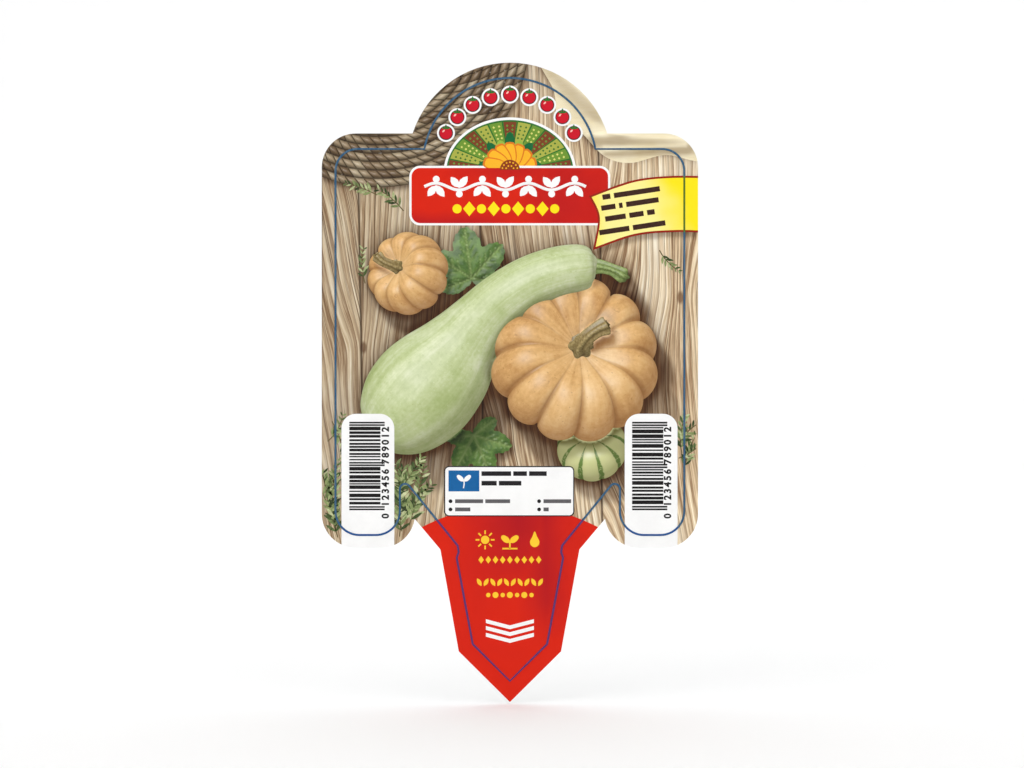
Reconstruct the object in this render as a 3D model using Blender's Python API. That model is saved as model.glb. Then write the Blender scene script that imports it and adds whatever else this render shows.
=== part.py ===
"""Garden plant label: one die-cut sheet of white plastic with a pointed stake below.

The sheet stands upright, with +Z up. Its printed front looks along -Y and its back lies in
the plane y = 0. The origin is on the back, halfway across the stake, at the soil line: the
height of the stake's shoulders, just under the two ears. Units are metres.
"""

import math

import bmesh
import bpy

MM = 0.001

# The sheet
THICKNESS = 0.5 * MM
HALF_WIDTH = 47.05 * MM
SHOULDER_Z = 104.0 * MM
SHOULDER_RADIUS = 8.5 * MM

# The half-round dome over the shoulders
DOME_RADIUS = 25.6 * MM
DOME_CENTRE_Z = 96.1 * MM

# The two ears that hang beside the stake, with rounded lower corners
EAR_RADIUS = 8.5 * MM
EAR_BOTTOM_Z = 0.4 * MM
EAR_INNER_X = 23.7 * MM

# The notch between ear and stake, and the stake below it
NOTCH_Z = 7.6 * MM
STAKE_SHOULDER_X = 17.4 * MM
STAKE_SHOULDER_Z = 0.0
STAKE_LOWER_X = 12.8 * MM
STAKE_LOWER_Z = -25.5 * MM
TIP_Z = -38.2 * MM

# How finely the arcs are divided
ARC_STEP = math.radians(5.0)

SHEET_WHITE = (0.86, 0.86, 0.84, 1.0)


def clear_scene():
    """Starts from an empty scene."""
    for thing in list(bpy.data.objects):
        bpy.data.objects.remove(thing, do_unlink=True)


def arc(centre_x, centre_z, radius, start, end):
    """Points on a circular arc from one angle to another, both ends included."""
    steps = max(2, math.ceil(abs(end - start) / ARC_STEP))
    angles = [start + (end - start) * i / steps for i in range(steps + 1)]
    return [(centre_x + radius * math.cos(a), centre_z + radius * math.sin(a)) for a in angles]


def right_half():
    """The sheet's edge on the +X side, from the stake's tip up to the top of the dome."""
    ear_centre_z = EAR_BOTTOM_Z + EAR_RADIUS
    inner_centre_x = EAR_INNER_X + EAR_RADIUS
    outer_centre_x = HALF_WIDTH - EAR_RADIUS
    notch_angle = math.pi + math.asin((ear_centre_z - NOTCH_Z) / EAR_RADIUS)
    shoulder_centre_x = HALF_WIDTH - SHOULDER_RADIUS
    shoulder_centre_z = SHOULDER_Z - SHOULDER_RADIUS
    dome_foot = math.asin((SHOULDER_Z - DOME_CENTRE_Z) / DOME_RADIUS)

    edge = [(0.0, TIP_Z), (STAKE_LOWER_X, STAKE_LOWER_Z), (STAKE_SHOULDER_X, STAKE_SHOULDER_Z)]
    edge += arc(inner_centre_x, ear_centre_z, EAR_RADIUS, notch_angle, 1.5 * math.pi)
    edge += arc(outer_centre_x, ear_centre_z, EAR_RADIUS, 1.5 * math.pi, 2.0 * math.pi)
    edge += arc(shoulder_centre_x, shoulder_centre_z, SHOULDER_RADIUS, 0.0, 0.5 * math.pi)
    edge += arc(0.0, DOME_CENTRE_Z, DOME_RADIUS, dome_foot, 0.5 * math.pi)
    return edge


def outline():
    """The whole edge of the sheet, once round: the +X side and its mirror image."""
    right = right_half()
    left = [(-x, z) for x, z in reversed(right[1:-1])]
    return right + left


def plastic(name, colour, roughness):
    """A plain plastic finish."""
    material = bpy.data.materials.new(name)
    material.use_nodes = True
    shader = material.node_tree.nodes["Principled BSDF"]
    shader.inputs["Base Color"].default_value = colour
    shader.inputs["Roughness"].default_value = roughness
    shader.inputs["Metallic"].default_value = 0.0
    return material


def label_sheet():
    """The die-cut sheet: its outline as one face, extruded through the thickness."""
    mesh = bpy.data.meshes.new("label_sheet")
    work = bmesh.new()
    corners = [work.verts.new((x, -THICKNESS, z)) for x, z in outline()]
    front = work.faces.new(corners)
    grown = bmesh.ops.extrude_face_region(work, geom=[front])
    back = [v for v in grown["geom"] if isinstance(v, bmesh.types.BMVert)]
    bmesh.ops.translate(work, verts=back, vec=(0.0, THICKNESS, 0.0))
    bmesh.ops.recalc_face_normals(work, faces=work.faces)
    work.to_mesh(mesh)
    work.free()
    sheet = bpy.data.objects.new("label_sheet", mesh)
    sheet.data.materials.append(plastic("white_sheet", SHEET_WHITE, 0.4))
    bpy.context.scene.collection.objects.link(sheet)
    return sheet


clear_scene()
label_sheet()
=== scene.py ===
"""Garden plant label: the finish of its sheet, and the print on its front and back.

The picture on the front is a still life seen from straight above: boards, squashes, leaves, a
straw mat and linen. Its bodies are modelled in full depth, lit by one soft daylight worked out
here, and then pressed flat on the sheet as print. Panels, lines and small marks are laid over it
in thin levels.
"""
import math
import random

import bmesh
import bpy
import numpy as np
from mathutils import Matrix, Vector
from mathutils.geometry import delaunay_2d_cdt


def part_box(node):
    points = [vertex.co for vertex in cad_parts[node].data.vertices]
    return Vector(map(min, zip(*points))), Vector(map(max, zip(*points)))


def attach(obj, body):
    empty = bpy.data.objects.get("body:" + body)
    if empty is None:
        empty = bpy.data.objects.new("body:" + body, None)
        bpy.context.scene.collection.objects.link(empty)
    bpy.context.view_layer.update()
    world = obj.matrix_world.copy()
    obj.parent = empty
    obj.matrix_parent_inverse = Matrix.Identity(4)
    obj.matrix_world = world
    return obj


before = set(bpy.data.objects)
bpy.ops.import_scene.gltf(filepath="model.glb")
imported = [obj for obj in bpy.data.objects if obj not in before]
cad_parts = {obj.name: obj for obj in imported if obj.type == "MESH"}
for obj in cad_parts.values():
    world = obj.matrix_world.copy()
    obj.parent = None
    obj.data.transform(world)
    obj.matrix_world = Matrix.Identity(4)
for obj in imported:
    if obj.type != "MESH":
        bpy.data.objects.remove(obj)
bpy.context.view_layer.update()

bl_info = {
    "name": "Plant Label",
    "version": (1, 0, 0),
    "blender": (4, 5, 0),
    "location": "3D View > Sidebar > Plant Label",
    "description": "Finishes a die-cut garden plant label and prints both of its sides",
    "category": "Object",
}

MM = 0.001
BODY = "root"
SHEET_LOW, SHEET_HIGH = (np.array(corner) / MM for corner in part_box("label_sheet"))
FRONT = SHEET_LOW[1]
BACK = SHEET_HIGH[1]

# How far each level of print stands in front of the sheet, in millimetres
GROUND_LEVEL = 0.02
PICTURE_LEVEL = 0.03
STEM_LEVEL = 0.045
SPRIG_LEVEL = 0.055
PANEL_LEVEL = 0.10
EMBLEM_LEVEL = 0.11
NAME_LEVEL = 0.13
FLAG_LEVEL = 0.15
LINE_LEVEL = 0.18
STEP_UP = 0.01
INK_DEPTH = 0.008

# How much of a pictured height is left when it is pressed flat
FLATTEN = 0.0016

# How much of its light an ink keeps in its deeper patches
INK_CLOUD = 0.96


# Settings

def length(name, description, default):
    """A size of the label, given in millimetres."""
    return bpy.props.FloatProperty(
        name=name, description=description, default=default * MM, min=0.0, precision=5, unit="LENGTH")


def paint(red, green, blue):
    """A colour as light values, from its strength on a scale of 255."""
    parts = [c / 255 for c in (red, green, blue)]
    return tuple(c / 12.92 if c <= 0.04045 else ((c + 0.055) / 1.055) ** 2.4 for c in parts)


def tint(name, description, red, green, blue):
    """A colour that a user may change."""
    return bpy.props.FloatVectorProperty(
        name=name, description=description, default=paint(red, green, blue),
        min=0.0, max=1.0, size=3, subtype="COLOR")


class LabelPrintSizes(bpy.types.PropertyGroup):
    """Sizes of the printed panels and lines."""

    line_width: length("Line width", "Width of the thin line that runs inside the edge", 0.5)
    line_inset: length("Line inset", "How far that line runs inside the sheet's side edges", 3.45)
    panel_border: length("Panel border", "Width of the white border of the name panel", 0.55)
    flag_border: length("Flag border", "Width of the dark border of the yellow flag", 0.5)
    code_length: length("Code length", "Length of a whole bar code, from its first bar to its last", 22.1)
    bar_length: length("Bar length", "Length of the bars of a bar code", 7.8)
    rule_height: length("Rule height", "Height of the short rules on the flag", 1.3)


class LabelPrintColours(bpy.types.PropertyGroup):
    """Colours of the print."""

    red: tint("Red", "Red of the name panel and the stake", 216, 31, 2)
    red_deep: tint("Deep red", "Deeper red of the name panel and the stake", 176, 12, 22)
    yellow: tint("Yellow", "Yellow of the flag and of the small marks", 255, 230, 20)
    yellow_pale: tint("Pale yellow", "Pale yellow in the flag's middle", 255, 241, 150)
    line: tint("Line", "Blue of the thin line", 34, 82, 142)
    ink: tint("Ink", "Dark ink of the bars and rules", 22, 20, 20)
    white: tint("White", "White ink and the bare sheet", 250, 250, 249)
    blue: tint("Blue", "Blue of the small square on the form", 20, 98, 160)
    green: tint("Green", "Green of the back's print", 40, 112, 62)


class LabelPictureSizes(bpy.types.PropertyGroup):
    """Sizes of the things in the picture."""

    pumpkin_radius: length("Pumpkin radius", "Half the width of the large ribbed squash", 21.5)
    pumpkin_ribs: bpy.props.IntProperty(
        name="Pumpkin ribs", description="Ribs of the large ribbed squash", default=12, min=5, max=24)
    small_radius: length("Small squash radius", "Half the width of the small ribbed squash", 10.5)
    round_radius: length("Round squash radius", "Half the width of the small striped squash", 8.8)
    leaf_length: length("Leaf length", "Length of the large leaf", 18.0)
    cord_width: length("Mat cord width", "Width of one turn of the coiled straw mat", 2.1)


def sizes():
    return bpy.context.scene.label_sizes


def colours():
    return bpy.context.scene.label_colours


def picture():
    return bpy.context.scene.label_picture


# Finishes, written as expressions on sockets

class Term:
    """A socket that takes part in Python expressions."""

    def __init__(self, finish, socket):
        self.finish = finish
        self.socket = socket

    def math(self, operation, *values, clamp=False):
        made = self.finish.node("ShaderNodeMath", {"operation": operation, "use_clamp": clamp}, values)
        return Term(self.finish, made.outputs[0])

    def __add__(self, other):
        return self.math("ADD", self, other)

    def __radd__(self, other):
        return self.math("ADD", other, self)

    def __sub__(self, other):
        return self.math("SUBTRACT", self, other)

    def __rsub__(self, other):
        return self.math("SUBTRACT", other, self)

    def __mul__(self, other):
        return self.math("MULTIPLY", self, other)

    def __rmul__(self, other):
        return self.math("MULTIPLY", other, self)

    def __truediv__(self, other):
        return self.math("DIVIDE", self, other)

    def __rtruediv__(self, other):
        return self.math("DIVIDE", other, self)

    def __pow__(self, other):
        return self.math("POWER", self, other)

    def most(self, other):
        return self.math("MAXIMUM", self, other)

    def size(self):
        return self.math("ABSOLUTE", self)

    def sine(self):
        return self.math("SINE", self)

    def floor(self):
        return self.math("FLOOR", self)

    def part(self):
        return self.math("FRACT", self)

    def root(self):
        return self.math("SQRT", self)

    def fading(self, reach):
        """1 at 0, falling away smoothly over a reach."""
        return self.math("EXPONENT", self * (-1.0 / reach))

    def held(self):
        """The value kept between 0 and 1."""
        return self.math("ADD", self, 0.0, clamp=True)

    def step(self, low, high):
        """0 below low, 1 above high and smooth between them."""
        made = self.finish.node("ShaderNodeMapRange", {"interpolation_type": "SMOOTHSTEP"},
                                {"Value": self, "From Min": low, "From Max": high})
        return Term(self.finish, made.outputs["Result"])


class Finish:
    """One material and the nodes that it is written with."""

    def __init__(self, name, roughness=0.42, gloss=0.16):
        self.material = bpy.data.materials.new(name)
        self.material.use_nodes = True
        self.nodes = self.material.node_tree.nodes
        self.links = self.material.node_tree.links
        self.shader = self.nodes["Principled BSDF"]
        self.shader.inputs["Specular IOR Level"].default_value = gloss
        self.shader.inputs["Roughness"].default_value = roughness
        self.roughness = roughness

    def node(self, kind, settings=None, values=()):
        """A node of one kind: its settings first, then what its sockets hold."""
        made = self.nodes.new(kind)
        for key, value in (settings or {}).items():
            if key == "stops":
                self.stops(made.color_ramp, value)
            else:
                setattr(made, key, value)
        named = values.items() if isinstance(values, dict) else enumerate(values)
        for key, value in named:
            self.feed(made.inputs[key], value)
        return made

    def stops(self, ramp, stops):
        while len(ramp.elements) < len(stops):
            ramp.elements.new(1.0)
        for element, (place, colour) in zip(ramp.elements, stops):
            element.position = place
            element.color = (*colour[:3], 1.0)

    def feed(self, socket, value):
        if isinstance(value, Term):
            self.links.new(value.socket, socket)
        elif socket.type == "RGBA":
            socket.default_value = (*value[:3], 1.0)
        else:
            socket.default_value = value

    def term(self, kind, settings=None, values=(), output=0):
        return Term(self, self.node(kind, settings, values).outputs[output])

    def place(self):
        """Where a point is on the label, across, deep and up, in millimetres."""
        where = self.term("ShaderNodeTexCoord", output="Object")
        where = self.term("ShaderNodeVectorMath", {"operation": "SCALE"}, {"Vector": where, "Scale": 1 / MM})
        split = self.node("ShaderNodeSeparateXYZ", None, [where])
        return [Term(self, split.outputs[i]) for i in range(3)]

    def kept(self, name, output="Fac"):
        """What the mesh keeps at each point under a name."""
        return self.term("ShaderNodeAttribute", {"attribute_name": name}, output=output)

    def spot(self):
        """Where a point is on the full pictured thing, in millimetres."""
        return self.term("ShaderNodeVectorMath", {"operation": "SCALE"}, {
            "Vector": self.kept("spot", "Vector"), "Scale": 1 / MM})

    def vector(self, x, y, z):
        return self.term("ShaderNodeCombineXYZ", None, [x, y, z])

    def noise(self, where, scale=1.0, detail=3.0, roughness=0.55):
        return self.term("ShaderNodeTexNoise", {"noise_dimensions": "3D"}, {
            "Vector": where, "Scale": scale, "Detail": detail, "Roughness": roughness})

    def ramp(self, value, *stops):
        return self.term("ShaderNodeValToRGB", {"stops": stops}, [value], "Color")

    def mix(self, share, first, second):
        return self.term("ShaderNodeMix", {"data_type": "RGBA"}, {0: share, 6: first, 7: second}, 2)

    def times(self, colour, other):
        """Two colours multiplied, as light passing one ink and then another."""
        return self.term("ShaderNodeMix", {"data_type": "RGBA", "blend_type": "MULTIPLY"},
                         {0: 1.0, 6: colour, 7: other}, 2)

    def strength(self, colour, amount):
        """A colour made darker or lighter by a number."""
        return self.term("ShaderNodeVectorMath", {"operation": "SCALE"}, {"Vector": colour, "Scale": amount})

    def lit(self, colour, shadow, gleam=0.0):
        """A pictured colour under the picture's daylight, which the mesh keeps as shade."""
        shade = self.kept("shade")
        toned = self.times(colour, self.mix(shade.held(), shadow, (1.0, 1.0, 1.0)))
        toned = self.strength(toned, shade.most(1.0))
        if gleam:
            toned = self.mix((self.kept("gleam") * gleam).held(), toned, (1.0, 1.0, 0.94))
        return toned

    def printed(self, colour, unevenness=0.03):
        """Ends the finish: the colour as ink on varnished sheet, with its faint unevenness."""
        x, y, z = self.place()
        fine = self.noise(self.vector(x, y, z), 2.6, 3.0)
        slow = self.noise(self.vector(x, y, z), 0.06, 2.0)
        rough = self.roughness + (fine - 0.5) * 0.10 + (slow - 0.5) * 0.10
        height = fine * 0.6 + self.noise(self.vector(x, y, z), 0.7, 2.0)
        bump = self.node("ShaderNodeBump", None, {"Strength": 0.08, "Distance": 0.02 * MM, "Height": height})
        toned = self.strength(colour, 1.0 + (fine - 0.5) * unevenness)
        self.feed(self.shader.inputs["Base Color"], toned)
        self.feed(self.shader.inputs["Roughness"], rough)
        self.links.new(bump.outputs["Normal"], self.shader.inputs["Normal"])
        return self.material


def plain_ink(name, colour, roughness=0.42):
    """One ink, with the slight cloudiness that a flat ink has."""
    finish = Finish(name, roughness)
    x, y, z = finish.place()
    cloud = finish.noise(finish.vector(x, y, z), 0.16, 3.0)
    deep = tuple(c * INK_CLOUD for c in colour)
    return finish.printed(finish.mix(cloud.step(0.35, 0.65), deep, colour))


def white_ink(name):
    """An ink of the bare sheet's white."""
    return plain_ink(name, colours().white)


# Flat shapes

def toward(x, z, angle, reach, rise=None):
    """The point at a reach from another in a direction in degrees, or on an oval with a rise of its own."""
    a = math.radians(angle)
    return x + reach * math.cos(a), z + (reach if rise is None else rise) * math.sin(a)


def arc(x, z, radius, start, end, step=5.0):
    """Points on a circular arc, angles in degrees, both ends included."""
    count = max(2, math.ceil(abs(end - start) / step))
    return [toward(x, z, start + (end - start) * i / count, radius) for i in range(count + 1)]


def disc(x, z, radius, count=28):
    """A circle."""
    return [toward(x, z, 360 * i / count, radius) for i in range(count)]


def rounded(corners, step=8.0, closed=True):
    """An outline whose corners, given as (x, z, radius), are rounded."""
    points = []
    for i, (x, z, radius) in enumerate(corners):
        if radius <= 0 or (not closed and i in (0, len(corners) - 1)):
            points.append((x, z))
            continue
        here = Vector((x, z))
        before = (Vector(corners[i - 1][:2]) - here).normalized()
        after = (Vector(corners[(i + 1) % len(corners)][:2]) - here).normalized()
        half = before.angle(after) / 2
        centre = here + (before + after).normalized() * radius / math.sin(half)
        first = here + before * radius / math.tan(half) - centre
        last = here + after * radius / math.tan(half) - centre
        start = math.degrees(math.atan2(first.y, first.x))
        turn = math.degrees(math.atan2(last.y, last.x)) - start
        turn = (turn + 180) % 360 - 180
        points += arc(centre.x, centre.y, radius, start, start + turn, step)
    return points


def box_outline(left, right, low, high, radius):
    """A rounded rectangle."""
    return rounded([(left, low, radius), (right, low, radius), (right, high, radius), (left, high, radius)])


def smooth(points, count=8, closed=False):
    """A smooth curve through the points, with some points in each stretch."""
    given = [np.array(p, float) for p in points]
    if closed:
        given = [given[-1], *given, given[0], given[1]]
    else:
        given = [2 * given[0] - given[1], *given, 2 * given[-1] - given[-2]]
    out = []
    for a, b, c, d in zip(given, given[1:], given[2:], given[3:]):
        for i in range(count):
            t = i / count
            out.append(0.5 * (2 * b + (c - a) * t + (2 * a - 5 * b + 4 * c - d) * t ** 2
                              + (3 * b - a - 3 * c + d) * t ** 3))
    if not closed:
        out.append(given[-2])
    return [tuple(p) for p in out]


def turned(loop, x, z, angle=0.0, scale=1.0):
    """A loop turned by an angle in degrees, scaled and moved."""
    a = math.radians(angle)
    return [(x + scale * (u * math.cos(a) - v * math.sin(a)),
             z + scale * (u * math.sin(a) + v * math.cos(a))) for u, v in loop]


def petal(length_out, width, tip=0.75):
    """A petal or simple leaf that starts at the origin and points along +Z."""
    side = [(0.0, 0.0), (width * 0.36, length_out * 0.2), (width * 0.5, length_out * 0.5),
            (width * 0.34, length_out * (0.5 + 0.5 * tip)), (0.0, length_out)]
    right = smooth(side, 6)
    return right + [(-u, v) for u, v in right[-2:0:-1]]


def inset(loop, distance):
    """The outline moved inwards, for one that runs counter-clockwise."""
    points = np.array(loop)
    edges = np.roll(points, -1, axis=0) - points
    edges /= np.linalg.norm(edges, axis=1)[:, None]
    inward = np.stack([-edges[:, 1], edges[:, 0]], axis=1)
    both = inward + np.roll(inward, 1, axis=0)
    both /= np.maximum(np.linalg.norm(both, axis=1), 0.3)[:, None]
    reach = distance / np.maximum((both * inward).sum(axis=1), 0.4)
    return [tuple(p) for p in points + both * reach[:, None]]


def inside(loops, points):
    """Which points lie inside the loops, where a loop inside another is a hole."""
    found = np.zeros(len(points), bool)
    x, z = points[:, 0], points[:, 1]
    for loop in loops:
        for (ax, az), (bx, bz) in zip(loop, [*loop[1:], loop[0]]):
            if az != bz:
                found ^= ((az > z) != (bz > z)) & (x < (bx - ax) * (z - az) / (bz - az) + ax)
    return found


def fill(loops, inner=(), within=None):
    """Points and counter-clockwise triangles of a flat shape with holes, cut to an outline."""
    points, edges = [], []
    for loop in [*loops, *([within] if within else [])]:
        first = len(points)
        points += [Vector(p) for p in loop]
        edges += [(first + i, first + (i + 1) % len(loop)) for i in range(len(loop))]
    points += [Vector(p) for p in inner]
    made, _, faces, *_ = delaunay_2d_cdt(points, edges, [], 0, 1e-6)
    made = np.array([tuple(p) for p in made])
    faces = np.array(faces)
    middle = made[faces].mean(axis=1)
    wanted = inside(loops, middle)
    if within:
        wanted &= inside([within], middle)
    faces = faces[wanted]
    a, b, c = (made[faces[:, i]] for i in range(3))
    area = (b[:, 0] - a[:, 0]) * (c[:, 1] - a[:, 1]) - (b[:, 1] - a[:, 1]) * (c[:, 0] - a[:, 0])
    faces = np.where((area < 0)[:, None], faces[:, ::-1], faces)
    used, order = np.unique(faces, return_inverse=True)
    return made[used], order.reshape(faces.shape)


def rim(faces):
    """The edges at the border of a flat shape, each in its face's own direction."""
    edges = np.concatenate([faces[:, [0, 1]], faces[:, [1, 2]], faces[:, [2, 0]]]).tolist()
    known = {tuple(edge) for edge in edges}
    return [(a, b) for a, b in edges if (b, a) not in known]


def grid_inside(loops, step, margin):
    """Staggered points inside outlines, kept a margin away from their edges."""
    points = np.array(loops[0])
    xs = np.arange(points[:, 0].min(), points[:, 0].max(), step)
    zs = np.arange(points[:, 1].min(), points[:, 1].max(), step * 0.87)
    x, z = np.meshgrid(xs, zs)
    x = x + 0.5 * step * (np.arange(len(zs)) % 2)[:, None]
    grid = np.stack([x.ravel(), z.ravel()], axis=1)
    for loop in loops:
        grid = grid[inside([inset(loop, margin)], grid)]
    return grid


# Pieces

def settle(made):
    """Makes an object ride on the label."""
    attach(made, BODY)
    return made


def linked(name, data):
    """A new object in the scene."""
    made = bpy.data.objects.new(name, data)
    bpy.context.scene.collection.objects.link(made)
    return made


def keep(mesh, kind, values):
    """Keeps named numbers or vectors at a mesh's points."""
    field = {"FLOAT": "value", "FLOAT_VECTOR": "vector"}[kind]
    for name, given in values.items():
        mesh.attributes.new(name, kind, "POINT").data.foreach_set(field, np.ravel(given))


def piece(name, points, faces, material, numbers=None, vectors=None):
    """A mesh with its place in its points, finished and riding on the label."""
    mesh = bpy.data.meshes.new(name)
    mesh.from_pydata((np.asarray(points) * MM).tolist(), [], [list(map(int, f)) for f in faces])
    keep(mesh, "FLOAT", numbers or {})
    keep(mesh, "FLOAT_VECTOR", vectors or {})
    mesh.materials.append(material)
    return settle(linked(name, mesh))


def slab(name, loops, top, material, depth=INK_DEPTH, inner=(), within=None, behind=False,
         reach=None, numbers=None):
    """A thin closed shape of ink, on the front or, if behind, on the back.

    Its near face may have inner points, a reach of its own at each point and numbers to keep.
    """
    near, faces = fill(loops, inner, within)
    far, far_faces = fill(loops, (), within) if len(inner) else (near, faces)
    count = len(near)
    base, side = (BACK, 1) if behind else (FRONT, -1)
    ahead = np.full(count, top) if reach is None else reach(near)
    points = np.concatenate([
        np.stack([near[:, 0], base + side * ahead, near[:, 1]], axis=1),
        np.stack([far[:, 0], np.full(len(far), base + side * (top - depth)), far[:, 1]], axis=1)])
    walls = []
    border = rim(faces)
    match = {a: count + int(((far - near[a]) ** 2).sum(axis=1).argmin()) for a, _ in border}
    for a, b in border:
        walls.append((b, a, match[a], match[b]))
    everything = [*faces.tolist(), *(far_faces[:, ::-1] + count).tolist(), *walls]
    if behind:
        everything = [face[::-1] for face in everything]
    kept = {}
    for key, value in (numbers(near) if numbers else {}).items():
        kept[key] = np.concatenate([value, np.zeros(len(far))])
    return piece(name, points, everything, material, kept)


def base_slab(name, loops, top, material, within=None):
    """A panel whose sides reach down into the printed boards."""
    return slab(name, loops, top, material, top - GROUND_LEVEL / 2, within=within)


class Tree:
    """A geometry node tree being written."""

    def __init__(self, name, inputs):
        self.group = bpy.data.node_groups.new(name, "GeometryNodeTree")
        self.group.interface.new_socket("Geometry", in_out="INPUT", socket_type="NodeSocketGeometry")
        for key, (kind, default) in inputs.items():
            socket = self.group.interface.new_socket(key, in_out="INPUT", socket_type=kind)
            if default is not None:
                socket.default_value = default
        self.group.interface.new_socket("Geometry", in_out="OUTPUT", socket_type="NodeSocketGeometry")
        self.entry = self.group.nodes.new("NodeGroupInput")
        self.exit = self.group.nodes.new("NodeGroupOutput")

    def node(self, kind, settings=None, values=None):
        made = self.group.nodes.new(kind)
        for key, value in (settings or {}).items():
            setattr(made, key, value)
        for key, value in (values or {}).items():
            if isinstance(value, bpy.types.NodeSocket):
                self.group.links.new(value, made.inputs[key])
            else:
                made.inputs[key].default_value = value
        return made

    def math(self, operation, *values):
        return self.node("ShaderNodeMath", {"operation": operation}, dict(enumerate(values))).outputs[0]

    def ends(self, geometry):
        """Ends the tree in real geometry with its finish."""
        real = self.node("GeometryNodeRealizeInstances", None, {"Geometry": geometry})
        done = self.node("GeometryNodeSetMaterial", None, {
            "Geometry": real.outputs[0], "Material": self.entry.outputs["Material"]})
        self.group.links.new(done.outputs[0], self.exit.inputs[0])
        return self.group


MARK_SIDES = {"disc": 32, "lozenge": 4, "leaf": 12}
STAGGERED = 17


def marks_tree(shape):
    """Repeats one flat mark at every point, by the size and turn that the point keeps."""
    name = f"marks_{shape}"
    if name in bpy.data.node_groups:
        return bpy.data.node_groups[name]
    tree = Tree(name, {
        "Depth": ("NodeSocketFloat", INK_DEPTH * MM), "Material": ("NodeSocketMaterial", None)})
    if shape == "bar":
        mark = tree.node("GeometryNodeMeshCube", None, {"Size": (1.0, 1.0, 1.0)}).outputs["Mesh"]
    else:
        round_mark = tree.node("GeometryNodeMeshCylinder", {"fill_type": "NGON"},
                               {"Vertices": MARK_SIDES[shape], "Radius": 0.5, "Depth": 1.0})
        mark = tree.node("GeometryNodeTransform", None, {
            "Geometry": round_mark.outputs["Mesh"], "Rotation": (math.pi / 2, 0.0, 0.0)}).outputs[0]
    if shape == "leaf":
        where = tree.node("GeometryNodeInputPosition")
        split = tree.node("ShaderNodeSeparateXYZ", None, {0: where.outputs[0]})
        x, y, z = (split.outputs[i] for i in range(3))
        squared = tree.math("MULTIPLY", tree.math("MULTIPLY", x, x), 4.0)
        narrow = tree.math("SQRT", tree.math("SUBTRACT", 1.0002, squared))
        pointed = tree.node("ShaderNodeCombineXYZ", None, {0: x, 1: y, 2: tree.math("MULTIPLY", z, narrow)})
        mark = tree.node("GeometryNodeSetPosition", None, {
            "Geometry": mark, "Position": pointed.outputs[0]}).outputs[0]
    size, turn = (tree.node("GeometryNodeInputNamedAttribute", {"data_type": "FLOAT_VECTOR"}, {"Name": key})
                  for key in ("mark_size", "mark_turn"))
    split = tree.node("ShaderNodeSeparateXYZ", None, {0: size.outputs[0]})
    scale = tree.node("ShaderNodeCombineXYZ", None, {
        0: split.outputs[0], 1: tree.entry.outputs["Depth"], 2: split.outputs[2]})
    placed = tree.node("GeometryNodeInstanceOnPoints", None, {
        "Points": tree.entry.outputs["Geometry"], "Instance": mark,
        "Rotation": turn.outputs[0], "Scale": scale.outputs[0]})
    return tree.ends(placed.outputs[0])


def plain_mesh(source):
    """What an object's curve or modifiers make, as a plain mesh. The object itself is removed."""
    depsgraph = bpy.context.evaluated_depsgraph_get()
    mesh = bpy.data.meshes.new_from_object(source.evaluated_get(depsgraph), depsgraph=depsgraph)
    source.modifiers.clear()
    bpy.data.objects.remove(source, do_unlink=True)
    return mesh


def from_tree(name, data, tree, inputs, material):
    """Runs a node tree on a mesh or a curve and turns what it makes into a plain piece."""
    source = linked(name, data)
    modifier = source.modifiers.new("build", "NODES")
    modifier.node_group = tree
    named = {item.name: item.identifier for item in tree.interface.items_tree
             if item.item_type == "SOCKET" and item.in_out == "INPUT"}
    for key, value in {**inputs, "Material": material}.items():
        modifier[named[key]] = value
    mesh = plain_mesh(source)
    mesh.name = name
    return settle(linked(name, mesh))


def ink_height(top, behind, depth=INK_DEPTH):
    """Where the middle of an ink level is, from how far its top stands off the sheet."""
    middle = top - depth / 2
    return BACK + middle if behind else FRONT - middle


def marks(name, shape, rows, top, material, behind=False, tones=None, stagger=0.0):
    """Flat marks in one piece. A row is (x, z, width, height) and may end in a turn in degrees.

    Marks that overlap are staggered over some levels, so that they don't share one.
    """
    rows = np.array([(*row, 0.0)[:5] for row in rows], float)
    levels = ink_height(top, behind) - stagger * (np.arange(len(rows)) * 7 % STAGGERED)
    points = np.stack([rows[:, 0], levels, rows[:, 1]], axis=1)
    size = np.stack([rows[:, 2], np.ones(len(rows)), rows[:, 3]], axis=1) * MM
    turn = np.stack([np.zeros(len(rows)), -np.radians(rows[:, 4]), np.zeros(len(rows))], axis=1)
    mesh = bpy.data.meshes.new(name)
    mesh.from_pydata((points * MM).tolist(), [], [])
    keep(mesh, "FLOAT_VECTOR", {"mark_size": size, "mark_turn": turn})
    keep(mesh, "FLOAT", {} if tones is None else {"shade": tones})
    return from_tree(name, mesh, marks_tree(shape), {"Depth": INK_DEPTH * MM}, material)


def ribbon_tree():
    """Draws a flat line of one width along a path."""
    name = "ribbon"
    if name in bpy.data.node_groups:
        return bpy.data.node_groups[name]
    tree = Tree(name, {
        "Width": ("NodeSocketFloat", 0.5 * MM), "Depth": ("NodeSocketFloat", INK_DEPTH * MM),
        "Material": ("NodeSocketMaterial", None)})
    profile = tree.node("GeometryNodeCurvePrimitiveQuadrilateral", None, {
        "Width": tree.entry.outputs["Depth"], "Height": tree.entry.outputs["Width"]})
    level = tree.node("GeometryNodeSetCurveNormal", {"mode": "FREE"}, {
        "Curve": tree.entry.outputs["Geometry"], "Normal": (0.0, -1.0, 0.0)})
    swept = tree.node("GeometryNodeCurveToMesh", None, {
        "Curve": level.outputs[0], "Profile Curve": profile.outputs[0], "Fill Caps": True})
    return tree.ends(swept.outputs[0])


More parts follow.
